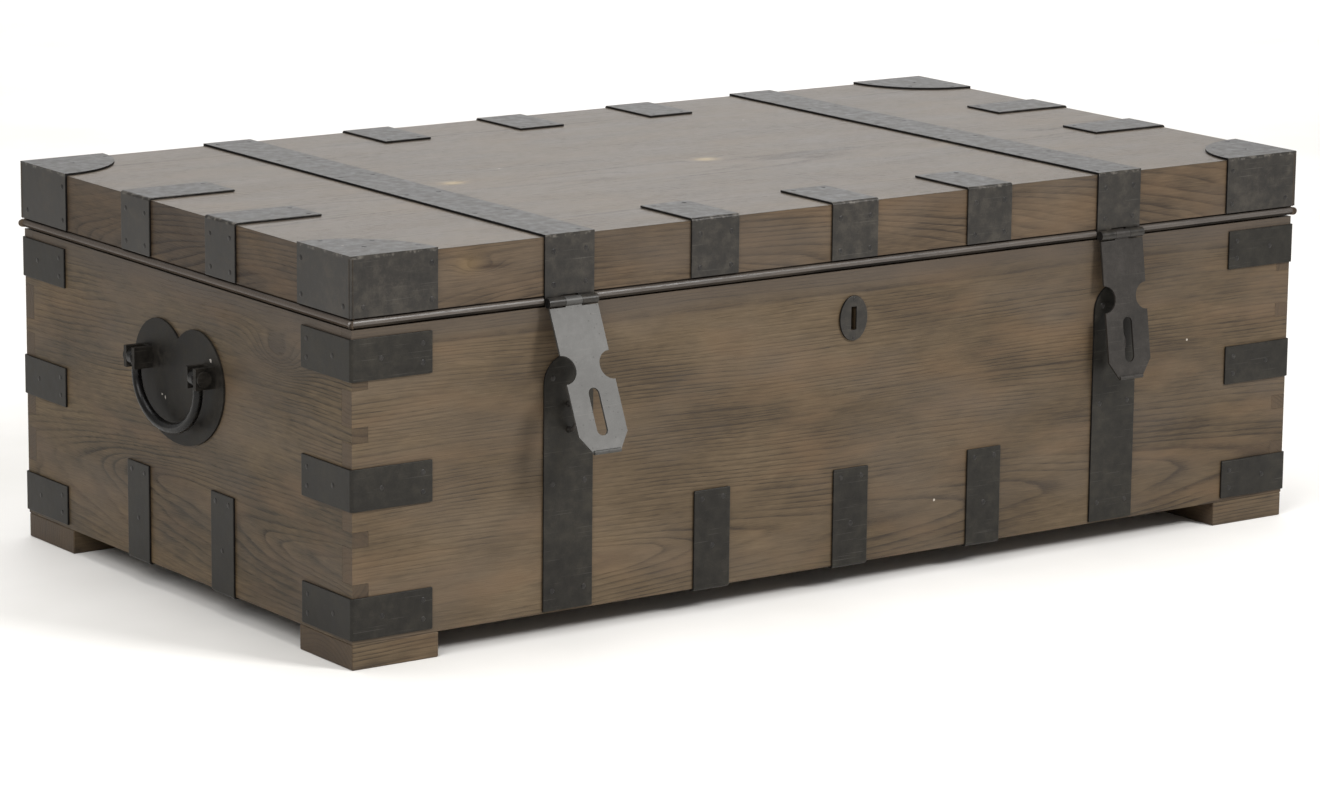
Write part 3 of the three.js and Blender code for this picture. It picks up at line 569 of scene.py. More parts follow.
@dataclass(frozen=True)
class SheetStrip:
    """A strip of sheet iron bent round an edge: a thin rounded rectangle carried along a filleted path."""

    width: float
    thickness: float = 2.3
    fold_radius: float = 2.0
    rim: float = 0.45
    guard: float = 0.4
    face: Finish = FACE_IRON

    def build(self, name: str, corners: Sequence[Sequence[float]], across: Sequence[float]) -> bpy.types.Object:
        """Carries the section along the path.

        A point is path + u across + v outward, where outward is the path's direction turned a quarter about
        across. At both ends the section shrinks by the rim, which rounds the end, and one more station by each
        end and each fold lets the flats shade flat.

        Args:
            name: the piece's name.
            corners: the centre line's corners, in millimetres.
            across: unit direction of the strip's width.

        Returns:
            The object. Its sheared sides and ends have slot 1, with painted shade, and its faces have slot 0.
        """
        points, directions = filleted_path(np.array(corners, float), self.fold_radius)
        first, last = directions[:1], directions[-1:]
        steps = (0.0, self.rim, self.rim + self.guard)
        start = [points[:1] + first * s for s in steps] + [points[1:2] - first * self.guard]
        end = [points[-2:-1] + last * self.guard] + [points[-1:] - last * s for s in steps[::-1]]
        points = np.concatenate(start + [points[1:-1]] + end)
        directions = np.concatenate([first] * 4 + [directions[1:-1]] + [last] * 4)
        wide = np.array(across, float)
        outward = np.cross(wide, directions)
        section = rounded_section(self.width, self.thickness, self.rim)
        rings = np.repeat(section[None], len(points), 0)
        rings[[0, -1]] = section - np.sign(section) * self.rim * 0.8
        grid = points[:, None, :] + rings[..., :1] * wide + rings[..., 1:] * outward[:, None, :]
        columns = len(section)
        faces = capped(len(points), columns)
        column = np.arange(len(faces) - 2) % columns
        on_side = np.isin(column, (0, 8, 9, 10, 18, 19))
        made = make_mesh(name, grid.reshape(-1, 3), faces, np.append(on_side, [True, True]).astype(int))
        dress(made, self.face, EDGE_SHADE_IRON)
        outward_faces(made)
        return made


def swept_rod(name: str, path: Array, radii: Array, sides: int = 20) -> bpy.types.Object:
    """Carries a circle along a path that lies in a plane across the X axis.

    A point is path - r (cos a normal + sin a X), where normal is the path's direction turned a quarter about X.

    Args:
        name: the piece's name.
        path: the centre line, in millimetres.
        radii: the radius at each point.
        sides: points round the circle.

    Returns:
        The object.
    """
    direction = np.gradient(path, axis=0)
    direction /= np.linalg.norm(direction, axis=1, keepdims=True)
    up = np.array([1.0, 0.0, 0.0])
    normal = np.cross(direction, up)
    angle = np.linspace(0, 2 * math.pi, sides, endpoint=False)[None, :, None]
    ring = np.cos(angle) * normal[:, None, :] + np.sin(angle) * up
    grid = path[:, None, :] - np.asarray(radii)[:, None, None] * ring
    made = make_mesh(name, grid.reshape(-1, 3), [f[::-1] for f in capped(len(path), sides)])
    outward_faces(made)
    return made


def domed_heads(name: str, places: Iterable[Head], radius: float = 2.8, rise: float = 0.5) -> bpy.types.Object:
    """Makes many round nail heads as one piece.

    A head is a flattened half ball: at angle a from its top, its ring has radius R sin(a) and height H cos(a),
    and a short skirt runs down into the iron. Heads on level faces are hammered flatter. Each one is slightly
    turned and sized by a fixed random draw.

    Args:
        name: the piece's name.
        places: where each head sits, in millimetres, and the unit direction it faces.
        radius: radius of a head.
        rise: height of a head.

    Returns:
        The object.
    """
    rows = list(places)
    centres = np.array([p for p, _ in rows], float)
    faces_to = np.array([n for _, n in rows], float)
    uneven, tilt, flatten, skirt, columns = 0.08, 0.05, 0.45, 0.4, 12
    draw = np.random.default_rng(7)
    size = radius * (1 + draw.uniform(-uneven, uneven, len(rows)))
    lean = draw.normal(0, tilt, (len(rows), 3))
    normal = faces_to + lean
    normal /= np.linalg.norm(normal, axis=1, keepdims=True)
    side = np.cross(normal, np.where(np.abs(normal[:, 2:]) > 0.9, [[1.0, 0, 0]], [[0, 0, 1.0]]))
    side /= np.linalg.norm(side, axis=1, keepdims=True)
    other = np.cross(normal, side)
    fall = np.array([0.12, 0.45, 0.8, 1.15, math.pi / 2])
    ring_radius = np.append(np.sin(fall), 1.0)
    ring_height = np.append(np.cos(fall) * rise, -skirt)
    hammered = 1 - flatten * np.abs(faces_to[:, 2:3, None, None])
    angle = np.linspace(0, 2 * math.pi, columns, endpoint=False)
    flat = np.stack([np.cos(angle), np.sin(angle)], -1)
    spread = flat[None, None] * (ring_radius[None, :, None] * size[:, None, None])[..., None]
    grid = centres[:, None, None] + spread[..., :1] * side[:, None, None] + spread[..., 1:] * other[:, None, None]
    grid = grid + ring_height[None, :, None, None] * hammered * normal[:, None, None]
    per_head = len(ring_radius) * columns
    starts = np.arange(len(rows)) * per_head
    quads = (grid_faces(len(ring_radius), columns)[None] + starts[:, None, None]).reshape(-1, 4)
    tops = starts[:, None] + np.arange(columns)[::-1]
    floors = starts[:, None] + per_head - columns + np.arange(columns)
    made = make_mesh(name, grid.reshape(-1, 3), quads.tolist() + tops.tolist() + floors.tolist())
    outward_faces(made)
    dress(made, NAIL_IRON)
    return made


def outward_faces(made: bpy.types.Object) -> None:
    """Turns every face of a closed piece to look outwards.

    Args:
        made: the piece.
    """
    work = bmesh.new()
    work.from_mesh(made.data)
    bmesh.ops.recalc_face_normals(work, faces=work.faces)
    work.to_mesh(made.data)
    work.free()


def eased_copy(
    node: str, ease: float, *finishes: Finish, narrow: float = 2.6, axis: int | None = None
) -> bpy.types.Object:
    """Makes a piece with a CAD node's shape and eased arrises, which stands for the node.

    Coplanar triangles are joined first, so that the bevel follows the real edges only.

    Args:
        node: the CAD node's name.
        ease: width of the bevel, in millimetres.
        finishes: the finish of its faces, then of its sheared edges if it has them.
        narrow: faces narrower than this are sheared edges, and take slot 1.
        axis: if given, only faces that look along this axis can be sheared edges.

    Returns:
        The object, with a bevel modifier.
    """
    work = bmesh.new()
    work.from_mesh(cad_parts[node].data)
    bmesh.ops.remove_doubles(work, verts=work.verts, dist=2e-6)
    bmesh.ops.dissolve_limit(work, angle_limit=math.radians(1.0), verts=work.verts, edges=work.edges)
    for face in work.faces:
        width = 2 * face.calc_area() / face.calc_perimeter() / MM
        along = axis is None or abs(face.normal[axis]) > 0.9
        face.material_index = int(width < narrow and along)
        face.smooth = True
    mesh = bpy.data.meshes.new(node + "_eased")
    work.to_mesh(mesh)
    work.free()
    mesh.set_sharp_from_angle(angle=math.radians(30))
    made = bpy.data.objects.new(node + "_eased", mesh)
    bpy.context.scene.collection.objects.link(made)
    bevel = made.modifiers.new("eased", "BEVEL")
    bevel.width = ease * MM
    bevel.segments = 2
    bevel.limit_method = "ANGLE"
    bevel.angle_limit = math.radians(35)
    bevel.use_clamp_overlap = True
    bevel.harden_normals = True
    dress(made, *finishes)
    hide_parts(node)
    return made


def dress(piece: bpy.types.Object, *finishes: Finish) -> None:
    """Puts one material per finish into a piece's slots, in order, and keeps the slot number of each face.

    Args:
        piece: the piece.
        finishes: its finishes.
    """
    slots = np.zeros(len(piece.data.polygons), np.int32)
    piece.data.polygons.foreach_get("material_index", slots)
    piece.data.materials.clear()
    for finish in finishes:
        piece.data.materials.append(finish.material())
    piece.data.polygons.foreach_set("material_index", np.minimum(slots, len(finishes) - 1))


def mount(piece: bpy.types.Object, body: str) -> bpy.types.Object:
    """Makes a piece ride with a body.

    Args:
        piece: the piece.
        body: the CAD body it moves with.

    Returns:
        The same piece.
    """
    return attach(piece, body)


def box_mm(node: str) -> tuple[Array, Array]:
    """Gives the lowest and highest corners of a CAD node in millimetres."""
    low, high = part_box(node)
    return np.array(low) / MM, np.array(high) / MM


class Assembly(ABC):
    """A sub-assembly that builds its pieces and says what they are."""

    @abstractmethod
    def build(self) -> list[str]:
        """Makes and dresses the pieces, and gives their names."""


# ---------------------------------------------------------------- wood


@dataclass
class Carcass(Assembly):
    """The box-jointed body on its four block feet."""

    foot_ease: float = 1.4
    front: StainedOak = StainedOak(
        "oak_front_board", Grain.LONG_SIDE, 70, 330, contrast=0.88, seed=2.0, painted_falloff=0.12, rim=333.0
    )
    back: StainedOak = StainedOak("oak_back_board", Grain.LONG_SIDE, 240, -370, seed=17.0, rim=333.0)
    # The left end's colours are a little darker than the other boards': painted shade, as it faces away from the key
    # light.
    left: StainedOak = StainedOak(
        "oak_left_end_board", Grain.END_SIDE, 95, 640, tilt=0.09, ring_width=5.0, wander=20, dark="2c2419",
        middle="473b2a", light="5f503a", contrast=1.2, seed=31.0, rim=333.0,
        knots=(Knot(-160, 284, 50, 19, 26, heart="2c2118", strength=0.3), Knot(60, 120, 120, 26, -18)),
    )
    right: StainedOak = StainedOak(
        "oak_right_end_board", Grain.END_SIDE, 230, -640, tilt=0.08, ring_width=5.0, wander=20, seed=47.0, rim=333.0
    )
    bottom: StainedOak = StainedOak("oak_bottom_board", Grain.TOP, 60, 80, ring_width=7.0, seed=5.0)
    feet: StainedOak = StainedOak("oak_foot_block", Grain.LONG_SIDE, -60, 260, ring_width=4.2, wander=12, seed=9.0)

    def build(self) -> list[str]:
        """Dresses the five boards and replaces the feet with eased blocks."""
        boards = {
            "front_panel": self.front,
            "back_panel": self.back,
            "left_end_panel": self.left,
            "right_end_panel": self.right,
            "bottom_panel": self.bottom,
        }
        for node, finish in boards.items():
            dress(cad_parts[node], finish)
        made = list(boards)
        for corner in CORNERS:
            foot = eased_copy(corner + "_foot", self.foot_ease, self.feet, narrow=0.0)
            made.append(mount(foot, "carcass").name)
        return made


@dataclass
class Lid(Assembly):
    """The lid's board and its four mitred rails with a bead along their lower edge."""

    wall: float = 18.0
    height: float = 67.2
    bead_height: float = 8.0
    bead_out: float = 3.0
    quirk: float = 1.6
    strap_offset: float = 350.0
    gap_half: float = 30.0
    board: StainedOak = StainedOak(
        "oak_lid_board", Grain.TOP, -40, -330, tilt=0.03, ring_width=6.0, wander=20, dark="3a322a", middle="51483d",
        light="665b4e", ochre=0.08, contrast=0.95, roughness=0.42, gloss=0.5, seed=61.0,
        knots=(
            Knot(-282, 14, 22, 17, 7, heart="a8946c", strength=0.6),
            Knot(30, -4, 22, 15, 7, heart="a8946c", strength=0.6),
        ),
    )
    long_rail: StainedOak = StainedOak(
        "oak_long_lid_rail", Grain.LONG_SIDE, 330, 330, tilt=0.12, ring_width=5.0, wander=18, dark="2e241a",
        middle="483b2c", light="60503d", ochre=0.4, seed=73.0,
        knots=(
            Knot(-452, 378, 24, 9, 14),
            Knot(-466, 382, 26, 17, 0, heart="6e5a3d", strength=0.5),
            Knot(-438, 378, 26, 5, 0, heart="2a1e14", strength=0.75),
        ),
    )
    # The short rails' colours are darker than the long rails': painted shade, for the ends that face away from the
    # key light.
    short_rail: StainedOak = StainedOak(
        "oak_short_lid_rail", Grain.END_SIDE, 330, 640, tilt=0.15, ring_width=5.0, wander=18, dark="271e16",
        middle="3c3125", light="524331", ochre=0.3, contrast=1.1, seed=83.0,
    )
    # Painted reflection: the bead's upper face is a lighter grey than the rail, for the sheen that it catches. Its
    # gloss is its own.
    bead_sheen_finish: StainedOak = StainedOak(
        "oak_bead_painted_sheen", Grain.LONG_SIDE, 330, 330, dark="2c2723", middle="3f3934", light="524b44", ochre=0.0,
        contrast=0.5, roughness=0.36, gloss=0.5, seed=91.0,
    )
    # Painted shade: near black, in the quirk above the bead and on the bead's downward-facing belly.
    quirk_shade_finish: StainedOak = StainedOak(
        "oak_quirk_painted_shade", Grain.LONG_SIDE, 330, 330, dark="0f0c09", middle="16120e", light="211b16", ochre=0.0,
        contrast=0.5, roughness=0.75, gloss=0.1, seed=95.0,
    )

    def section(self, bead: float) -> Array:
        """Gives a rail's section: depth in from its outer face, and height over its lower edge.

        Args:
            bead: 1 where the bead runs, 0 where it is cut away.

        Returns:
            One row per point, from the top round the outer side and back up the inner side.
        """
        turn = np.linspace(math.pi / 2, 1.5 * math.pi, 13)
        bulge = np.stack([np.cos(turn) * self.bead_out * bead, self.bead_height / 2 * (1 + np.sin(turn))], -1)
        top = self.bead_height + self.quirk
        upper = np.array([[0, self.height], [0, top], [self.quirk, top], [self.quirk, self.bead_height]])
        inner = np.array([[self.wall, 0], [self.wall, self.height - self.wall]])
        return np.concatenate([upper, bulge, inner])

    def rail(self, name: str, node: str, side: int, along: int, finish: StainedOak) -> bpy.types.Object:
        """Carries the section along one side of the lid, with mitred ends.

        At both ends the length shrinks by the depth in from the face, which makes the mitre. On a long rail the
        bead is cut away behind the two straps: it is pressed flat between two stations at the same place.

        Args:
            name: the piece's name.
            node: the CAD node it stands for.
            side: -1 where the outer face looks to the low side of its axis, 1 where to the high side.
            along: 0 for a rail along X, 1 for a rail along Y.
            finish: the rail's own finish.

        Returns:
            The object, with slot 1 (painted sheen) on its bead and slot 2 (painted shade) in the quirk above it and
            under its belly.
        """
        low, high = box_mm(node)
        middle, half = (low + high)[along] / 2, (high - low)[along] / 2
        out = 1 - along
        face = low[out] + self.bead_out if side < 0 else high[out] - self.bead_out
        marks = [(-half, 1.0)]
        for centre in (-self.strap_offset, self.strap_offset) if along == 0 else ():
            a, b = centre - self.gap_half, centre + self.gap_half
            marks += [(a, 1.0), (a, 0.0), (b, 0.0), (b, 1.0)]
        marks.append((half, 1.0))
        sections = np.stack([self.section(bead) for _, bead in marks])
        columns = sections.shape[1]
        places = np.repeat(np.array([place for place, _ in marks])[:, None], columns, 1)
        places[0] += sections[0, :, 0]
        places[-1] -= sections[-1, :, 0]
        grid = np.zeros(sections.shape[:2] + (3,))
        grid[..., along] = places + middle
        grid[..., out] = face - side * sections[..., 0]
        grid[..., 2] = low[2] + sections[..., 1]
        faces = capped(len(marks), columns)
        # Which slot each strip of the section has: painted shade in the quirk, a painted sheen on the bead's face,
        # and painted shade on its belly.
        slots = np.zeros(columns, int)
        slots[1:4], slots[4:11], slots[11:16] = 2, 1, 2
        groups = np.append(np.tile(slots, len(marks) - 1), [0, 0])
        made = make_mesh(name, grid.reshape(-1, 3), faces, groups, crease=35)
        dress(made, finish, self.bead_sheen_finish, self.quirk_shade_finish)
        outward_faces(made)
        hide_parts(node)
        return made

    def build(self) -> list[str]:
        """Dresses the board, and makes the four rails."""
        dress(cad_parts["lid_board"], self.board)
        made = ["lid_board"]
        for word, side, along, finish in (
            ("front", -1, 0, self.long_rail),
            ("back", 1, 0, self.long_rail),
            ("left", -1, 1, self.short_rail),
            ("right", 1, 1, self.short_rail),
        ):
            rail = self.rail(f"lid_{word}_beaded_rail", f"lid_{word}_rail", side, along, finish)
            made.append(mount(rail, "lid").name)
        return made


# ---------------------------------------------------------------- ironwork


@dataclass
class CornerIron(Assembly):
    """Twelve bent brackets on the body's corners and four caps on the lid's, with their nails."""

    sheet: float = 2.3
    near_nail: float = 34.0
    far_nail: float = 81.0
    nail_spread: float = 9.5
    cap_ease: float = 0.7
    cap_high_nail: float = 14.5
    cap_low_nail: float = 10.0
    cap_far_nail: float = 91.0
    cap_near_nail: float = 14.0
    cap_top_nails: tuple[tuple[float, float], ...] = ((21, 89), (89, 21), (63, 63), (40, 40))
    heads: list[Head] = field(default_factory=list)
    cap_heads: list[Head] = field(default_factory=list)

    def faces(self, node: str, corner: str) -> tuple[Array, Array, Array, Array]:
        """Finds which sides of a node's box look outwards at a corner of the chest.

        Args:
            node: the CAD node's name.
            corner: the corner's name.

        Returns:
            The outward signs along X and Y, the outer and the inner corner of the box, and its two heights.
        """
        low, high = box_mm(node)
        signs = np.array([-1 if "left" in corner else 1, -1 if "front" in corner else 1])
        outer = np.where(signs < 0, low[:2], high[:2])
        inner = np.where(signs < 0, high[:2], low[:2])
        return signs, outer, inner, np.array([low[2], high[2]])

    def bracket(self, corner: str, level: str) -> str:
        """Bends one bracket round its corner and marks its nails.

        Args:
            corner: the corner's name.
            level: lower, middle or upper.

        Returns:
            The piece's name.
        """
        node = f"{corner}_{level}_bracket"
        (sx, sy), (ox, oy), (fx, fy), (z0, z1) = self.faces(node, corner)
        half, z = self.sheet / 2, (z0 + z1) / 2
        corners = [(fx, oy - sy * half, z), (ox - sx * half, oy - sy * half, z), (ox - sx * half, fy, z)]
        strip = SheetStrip(z1 - z0, self.sheet, fold_radius=2.2, face=BODY_IRON)
        piece = strip.build(node + "_bent", corners, (0, 0, 1))
        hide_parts(node)
        far, spread = self.far_nail, self.nail_spread
        for reach, lift in ((self.near_nail, 0), (far, spread), (far, -spread)):
            self.heads.append(((ox - sx * reach, oy, z + lift), (0, sy, 0)))
            self.heads.append(((ox, oy - sy * reach, z + lift), (sx, 0, 0)))
        return mount(piece, "carcass").name

    def cap(self, corner: str) -> str:
        """Eases one lid cap and marks its nails.

        Args:
            corner: the corner's name.

        Returns:
            The piece's name.
        """
        node = corner + "_lid_cap"
        (sx, sy), (ox, oy), _, (z0, z1) = self.faces(node, corner)
        piece = eased_copy(node, self.cap_ease, FACE_IRON, EDGE_SHADE_IRON)
        upper, lower = z1 - self.cap_high_nail, z0 + self.cap_low_nail
        for reach, z in ((self.cap_far_nail, upper), (self.cap_far_nail, lower), (self.cap_near_nail, lower)):
            self.cap_heads.append(((ox - sx * reach, oy, z), (0, sy, 0)))
            self.cap_heads.append(((ox, oy - sy * reach, z), (sx, 0, 0)))
        for a, b in self.cap_top_nails:
            self.cap_heads.append(((ox - sx * a, oy - sy * b, z1), (0, 0, 1)))
        return mount(piece, "lid").name

    def build(self) -> list[str]:
        """Makes the brackets, the caps and their nails."""
        made = []
        for corner in CORNERS:
            made += [self.bracket(corner, level) for level in ("lower", "middle", "upper")]
            made.append(self.cap(corner))
        made.append(mount(domed_heads("body_corner_nails", self.heads), "carcass").name)
        made.append(mount(domed_heads("lid_corner_nails", self.cap_heads), "lid").name)
        return made


@dataclass
class EdgeIron(Assembly):
    """Ten brackets over the lid's edges and ten under the body's lower edge, with their nails."""

    sheet: float = 2.3
    seat: float = 0.2
    lower_width: float = 44.0
    lower_rise: float = 101.0
    lower_reach: float = 38.0
    long_places: tuple[float, ...] = (-175.0, 0.0, 175.0)
    short_places: tuple[float, ...] = (-85.0, 85.0)
    nail_aside: float = 19.0
    nail_low: float = 9.5
    nail_high: float = 17.0
    nail_far: float = 9.0
    lower_nails: tuple[tuple[float, float], ...] = ((-13.0, 9.0), (13.0, 9.0), (0.0, 58.0))
    heads: dict[str, list[Head]] = field(default_factory=lambda: {"lid": [], "carcass": []})

    def angle(
        self, name: str, out: int, runs: Sequence[tuple[float, float]], middle: float, width: float, finish: Finish
    ) -> bpy.types.Object:
        """Bends one strip over an edge: up or down the face, then in towards the chest.

        Args:
            name: the piece's name.
            out: the axis that the face looks along.
            runs: the centre line's corners, each with its place on that axis and its height.
            middle: the strip's middle on the other axis.
            width: the strip's width.
            finish: the finish of its faces.

        Returns:
            The object.
        """
        points = np.array([(middle, middle, z) for _, z in runs])
        points[:, out] = [place for place, _ in runs]
        across = np.array([1.0, 1.0, 0.0])
        across[out] = 0.0
        return SheetStrip(width, self.sheet, face=finish).build(name, points, across)

    def mark(self, body: str, out: int, face: float, along: float, z: float, side: int) -> None:
        """Marks one nail on an upright face.

        Args:
            body: the body it rides on.
            out: the axis that the face looks along.
            face: the face's place on that axis.
            along: the nail's place on the other axis.
            z: the nail's height.
            side: -1 or 1, the way the face looks.
        """
        spot, normal = np.array([along, along, z]), np.zeros(3)
        spot[out], normal[out] = face, side
        self.heads[body].append((spot, normal))

    def lid_bracket(self, node: str, out: int, side: int) -> str:
        """Makes the bracket that stands for a CAD node on the lid.

        Args:
            node: the CAD node's name.
            out: the axis that its face leg looks along.
            side: -1 or 1, the way it looks.

        Returns:
            The piece's name.
        """
        low, high = box_mm(node)
        other = 1 - out
        face, far = (low[out], high[out]) if side < 0 else (high[out], low[out])
        middle, width = (low[other] + high[other]) / 2, high[other] - low[other]
        line, level = face - side * self.sheet / 2, high[2] - self.sheet / 2
        runs = [(line, low[2]), (line, level), (far, level)]
        piece = self.angle(node + "_bent", out, runs, middle, width, FACE_IRON)
        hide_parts(node)
        for aside in (-self.nail_aside, self.nail_aside):
            for z in (low[2] + self.nail_low, high[2] - self.nail_high):
                self.mark("lid", out, face, middle + aside, z, side)
            spot = np.array([middle + aside, middle + aside, high[2]])
            spot[out] = far + side * self.nail_far
            self.heads["lid"].append((spot, (0, 0, 1)))
        return mount(piece, "lid").name

    def lower_bracket(self, name: str, out: int, side: int, panel: str, middle: float) -> str:
        """Makes one bracket that wraps under the body's lower edge.

        Args:
            name: the piece's name.
            out: the axis that the face looks along.
            side: -1 or 1, the way it looks.
            panel: the CAD node of the panel it lies on.
            middle: its middle on the other axis.

        Returns:
            The piece's name.
        """
        low, high = box_mm(panel)
        wood = low[out] if side < 0 else high[out]
        face = wood + side * (self.seat + self.sheet)
        line, top = face - side * self.sheet / 2, low[2] + self.lower_rise
        under = low[2] - self.seat - self.sheet / 2
        runs = [(line, top), (line, under), (wood - side * self.lower_reach, under)]
        piece = self.angle(name, out, runs, middle, self.lower_width, BODY_IRON)
        for aside, drop in self.lower_nails:
            self.mark("carcass", out, face, middle + aside, top - drop, side)
        return mount(piece, "carcass").name

    def build(self) -> list[str]:
        """Makes the brackets of all four sides and their nails."""
        shift = float(np.mean([box_mm("front_panel")[0][1], box_mm("back_panel")[1][1]]))
        made = []
        for word, panel, out, side, places, offset in (
            ("front", "front_panel", 1, -1, self.long_places, 0.0),
            ("back", "back_panel", 1, 1, self.long_places, 0.0),
            ("left", "left_end_panel", 0, -1, self.short_places, shift),
            ("right", "right_end_panel", 0, 1, self.short_places, shift),
        ):
            for number, place in enumerate(places, 1):
                made.append(self.lid_bracket(f"lid_{word}_bracket_{number}", out, side))
                name = f"body_{word}_lower_bracket_{number}"
                made.append(self.lower_bracket(name, out, side, panel, place + offset))
        made.append(mount(domed_heads("lid_edge_nails", self.heads["lid"]), "lid").name)
        made.append(mount(domed_heads("body_edge_nails", self.heads["carcass"]), "carcass").name)
        return made


@dataclass
class Straps(Assembly):
    """The two straps over the lid, the straps down the body's front and back, and the hinge pins."""

    ease: float = 0.5
    nail_aside: float = 19.0
    lid_spacing: float = 128.0
    end_nail: float = 14.0
    back_seat: float = 2.5
    edge_nails: tuple[float, ...] = (388.0, 355.0)
    front_nails: tuple[float, ...] = (48.0, 156.0, 262.0)
    back_nails: tuple[float, ...] = (48.0, 120.0, 192.0, 264.0)

    def build(self) -> list[str]:
        """Eases the straps and nails them down."""
        made: list[str] = []
        lid_heads: list[Head] = []
        body_heads: list[Head] = []
        for side in ("left", "right"):
            for part, narrow in (("lid_strap", 2.6), ("front_strap", 2.6), ("back_strap", 2.6), ("hinge_pin", 0.0)):
                body, iron = ("lid", FACE_IRON) if part == "lid_strap" else ("carcass", BODY_IRON)
                axis = None if part == "front_strap" else 0
                piece = eased_copy(f"{side}_{part}", self.ease, iron, EDGE_SHADE_IRON, narrow=narrow, axis=axis)
                made.append(mount(piece, body).name)
            low, high = box_mm(f"{side}_lid_strap")
            face, rear = box_mm(f"{side}_front_strap")[0][1], box_mm("back_panel")[1][1] + self.back_seat
            run = rear - face
            count = int(run / self.lid_spacing)
            for aside in (-self.nail_aside, self.nail_aside):
                x = (low[0] + high[0]) / 2 + aside
                for z in self.edge_nails:
                    lid_heads += [((x, face, z), (0, -1, 0)), ((x, rear, z), (0, 1, 0))]
                for step in range(count + 1):
                    y = face + self.end_nail + (run - 2 * self.end_nail) * step / count
                    lid_heads.append(((x, y, high[2]), (0, 0, 1)))
                body_heads += [((x, face, z), (0, -1, 0)) for z in self.front_nails]
                body_heads += [((x, rear, z), (0, 1, 0)) for z in self.back_nails]
        made.append(mount(domed_heads("lid_strap_nails", lid_heads), "lid").name)
        made.append(mount(domed_heads("body_strap_nails", body_heads), "carcass").name)
        return made


@dataclass
class Hasps(Assembly):
    """The two swinging hasps and the staples that they drop over."""

    ease: float = 0.35
    rod: float = 2.5
    half_height: float = 13.0
    stations: int = 33
    leg_stations: int = 6

    def staple(self, side: str) -> str:
        """Bends a rod into a staple: straight in, round half a circle, and straight back.

        Args:
            side: left or right.

        Returns:
            The piece's name.
        """
        node = f"{side}_staple"
        low, high = box_mm(node)
        x, z = (low[0] + high[0]) / 2, (low[2] + high[2]) / 2
        bend = low[1] + self.rod + self.half_height
        turn = np.linspace(0, math.pi, self.stations)
        leg = np.linspace(high[1], bend, self.leg_stations, endpoint=False)
        y = np.concatenate([leg, bend - self.half_height * np.sin(turn), leg[::-1]])
        lift = self.half_height * np.concatenate([-np.ones(len(leg)), -np.cos(turn), np.ones(len(leg))])
        path = np.stack([np.full(len(y), x), y, z + lift], -1)
        piece = swept_rod(node + "_rod", path, np.full(len(path), self.rod), 18)
        dress(piece, GREY_IRON)
        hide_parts(node)
        return mount(piece, "carcass").name

    def build(self) -> list[str]:
        """Eases the hasps and bends the staples."""
        made = []
        # The left hasp takes the lighter copy of the iron: painted highlight.
        for side, finish in (("left", RUBBED_LIT_IRON), ("right", GREY_IRON)):
            plate = eased_copy(f"{side}_hasp", self.ease, finish, narrow=0.0)
            made.append(mount(plate, f"{side}_hasp").name)
            made.append(self.staple(side))
        return made


@dataclass
class EndHandles(Assembly):
    """A back plate with two forked posts on each end, and the drop bail that turns in them."""

    ease: float = 0.9
    rod: float = 5.0
    belly: float = 0.8
    half_span: float = 62.0
    straight: float = 15.0
    eye_radius: float = 9.5
    bore: float = 3.3
    eye_rim: float = 1.2
    eye_sides: int = 40
    stations: int = 121
    leg_stations: int = 8

    def bail(self, side: str) -> list[str]:
        """Forges one bail: two short legs into half an ellipse, thicker at its lowest point, and an eye on each leg.

        The half ellipse is (R cos a, -S - B sin a), where S is the straight leg and B the remaining drop.

        Args:
            side: left or right.

        Returns:
            The names of the bail and its eyes.
        """
        node = f"{side}_handle_bail"
        low, high = box_mm(node)
        x, y = (low[0] + high[0]) / 2, (low[1] + high[1]) / 2
        pivot = high[2] - self.eye_radius
        drop = pivot - low[2] - self.rod
        turn = np.linspace(0, math.pi, self.stations)
        legs = np.linspace(-1.0, -self.straight, self.leg_stations, endpoint=False)
        across = np.concatenate([-np.ones(len(legs)), -np.cos(turn), np.ones(len(legs))]) * self.half_span
        height = np.concatenate([legs, -self.straight - (drop - self.straight) * np.sin(turn), legs[::-1]])
        path = np.stack([np.full(len(across), x), across + y, height + pivot], -1)
        along = np.linspace(0, math.pi, len(path))
        piece = swept_rod(node + "_rod", path, self.rod + self.belly * np.sin(along) ** 4, 28)
        dress(piece, FORGED_IRON)
        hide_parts(node)
        made = [mount(piece, f"{side}_bail").name]
        for number, place in enumerate((-self.half_span, self.half_span), 1):
            eye = self.eye(f"{side}_bail_eye_{number}", np.array([x, y + place, pivot]))
            made.append(mount(eye, f"{side}_bail").name)
        return made

    def eye(self, name: str, middle: Array) -> bpy.types.Object:
        """Turns a rounded rectangle round the pivot's line, which makes a flat ring.

        Args:
            name: the piece's name.
            middle: the ring's middle, in millimetres.

        Returns:
            The object.
        """
        section = rounded_section(self.rod * 2, self.eye_radius - self.bore, self.eye_rim, 4)
        sides, count = self.eye_sides, len(section)
        angle = np.linspace(0, 2 * math.pi, sides, endpoint=False)[:, None]
        reach = section[None, :, 1] + (self.eye_radius + self.bore) / 2
        width = np.repeat(section[None, :, 0], sides, 0)
        grid = np.stack([reach * np.cos(angle), width, reach * np.sin(angle)], -1) + middle
        faces = grid_faces(sides + 1, count) % (sides * count)
        made = make_mesh(name, grid.reshape(-1, 3), faces.tolist())
        outward_faces(made)
        dress(made, FORGED_IRON)
        return made

    def build(self) -> list[str]:
        """Eases the plates and forges the bails."""
        made = []
        for side in ("left", "right"):
            plate = eased_copy(f"{side}_handle_plate", self.ease, PLATE_IRON, narrow=0.0)
            made.append(mount(plate, "carcass").name)
            made += self.bail(side)
        return made


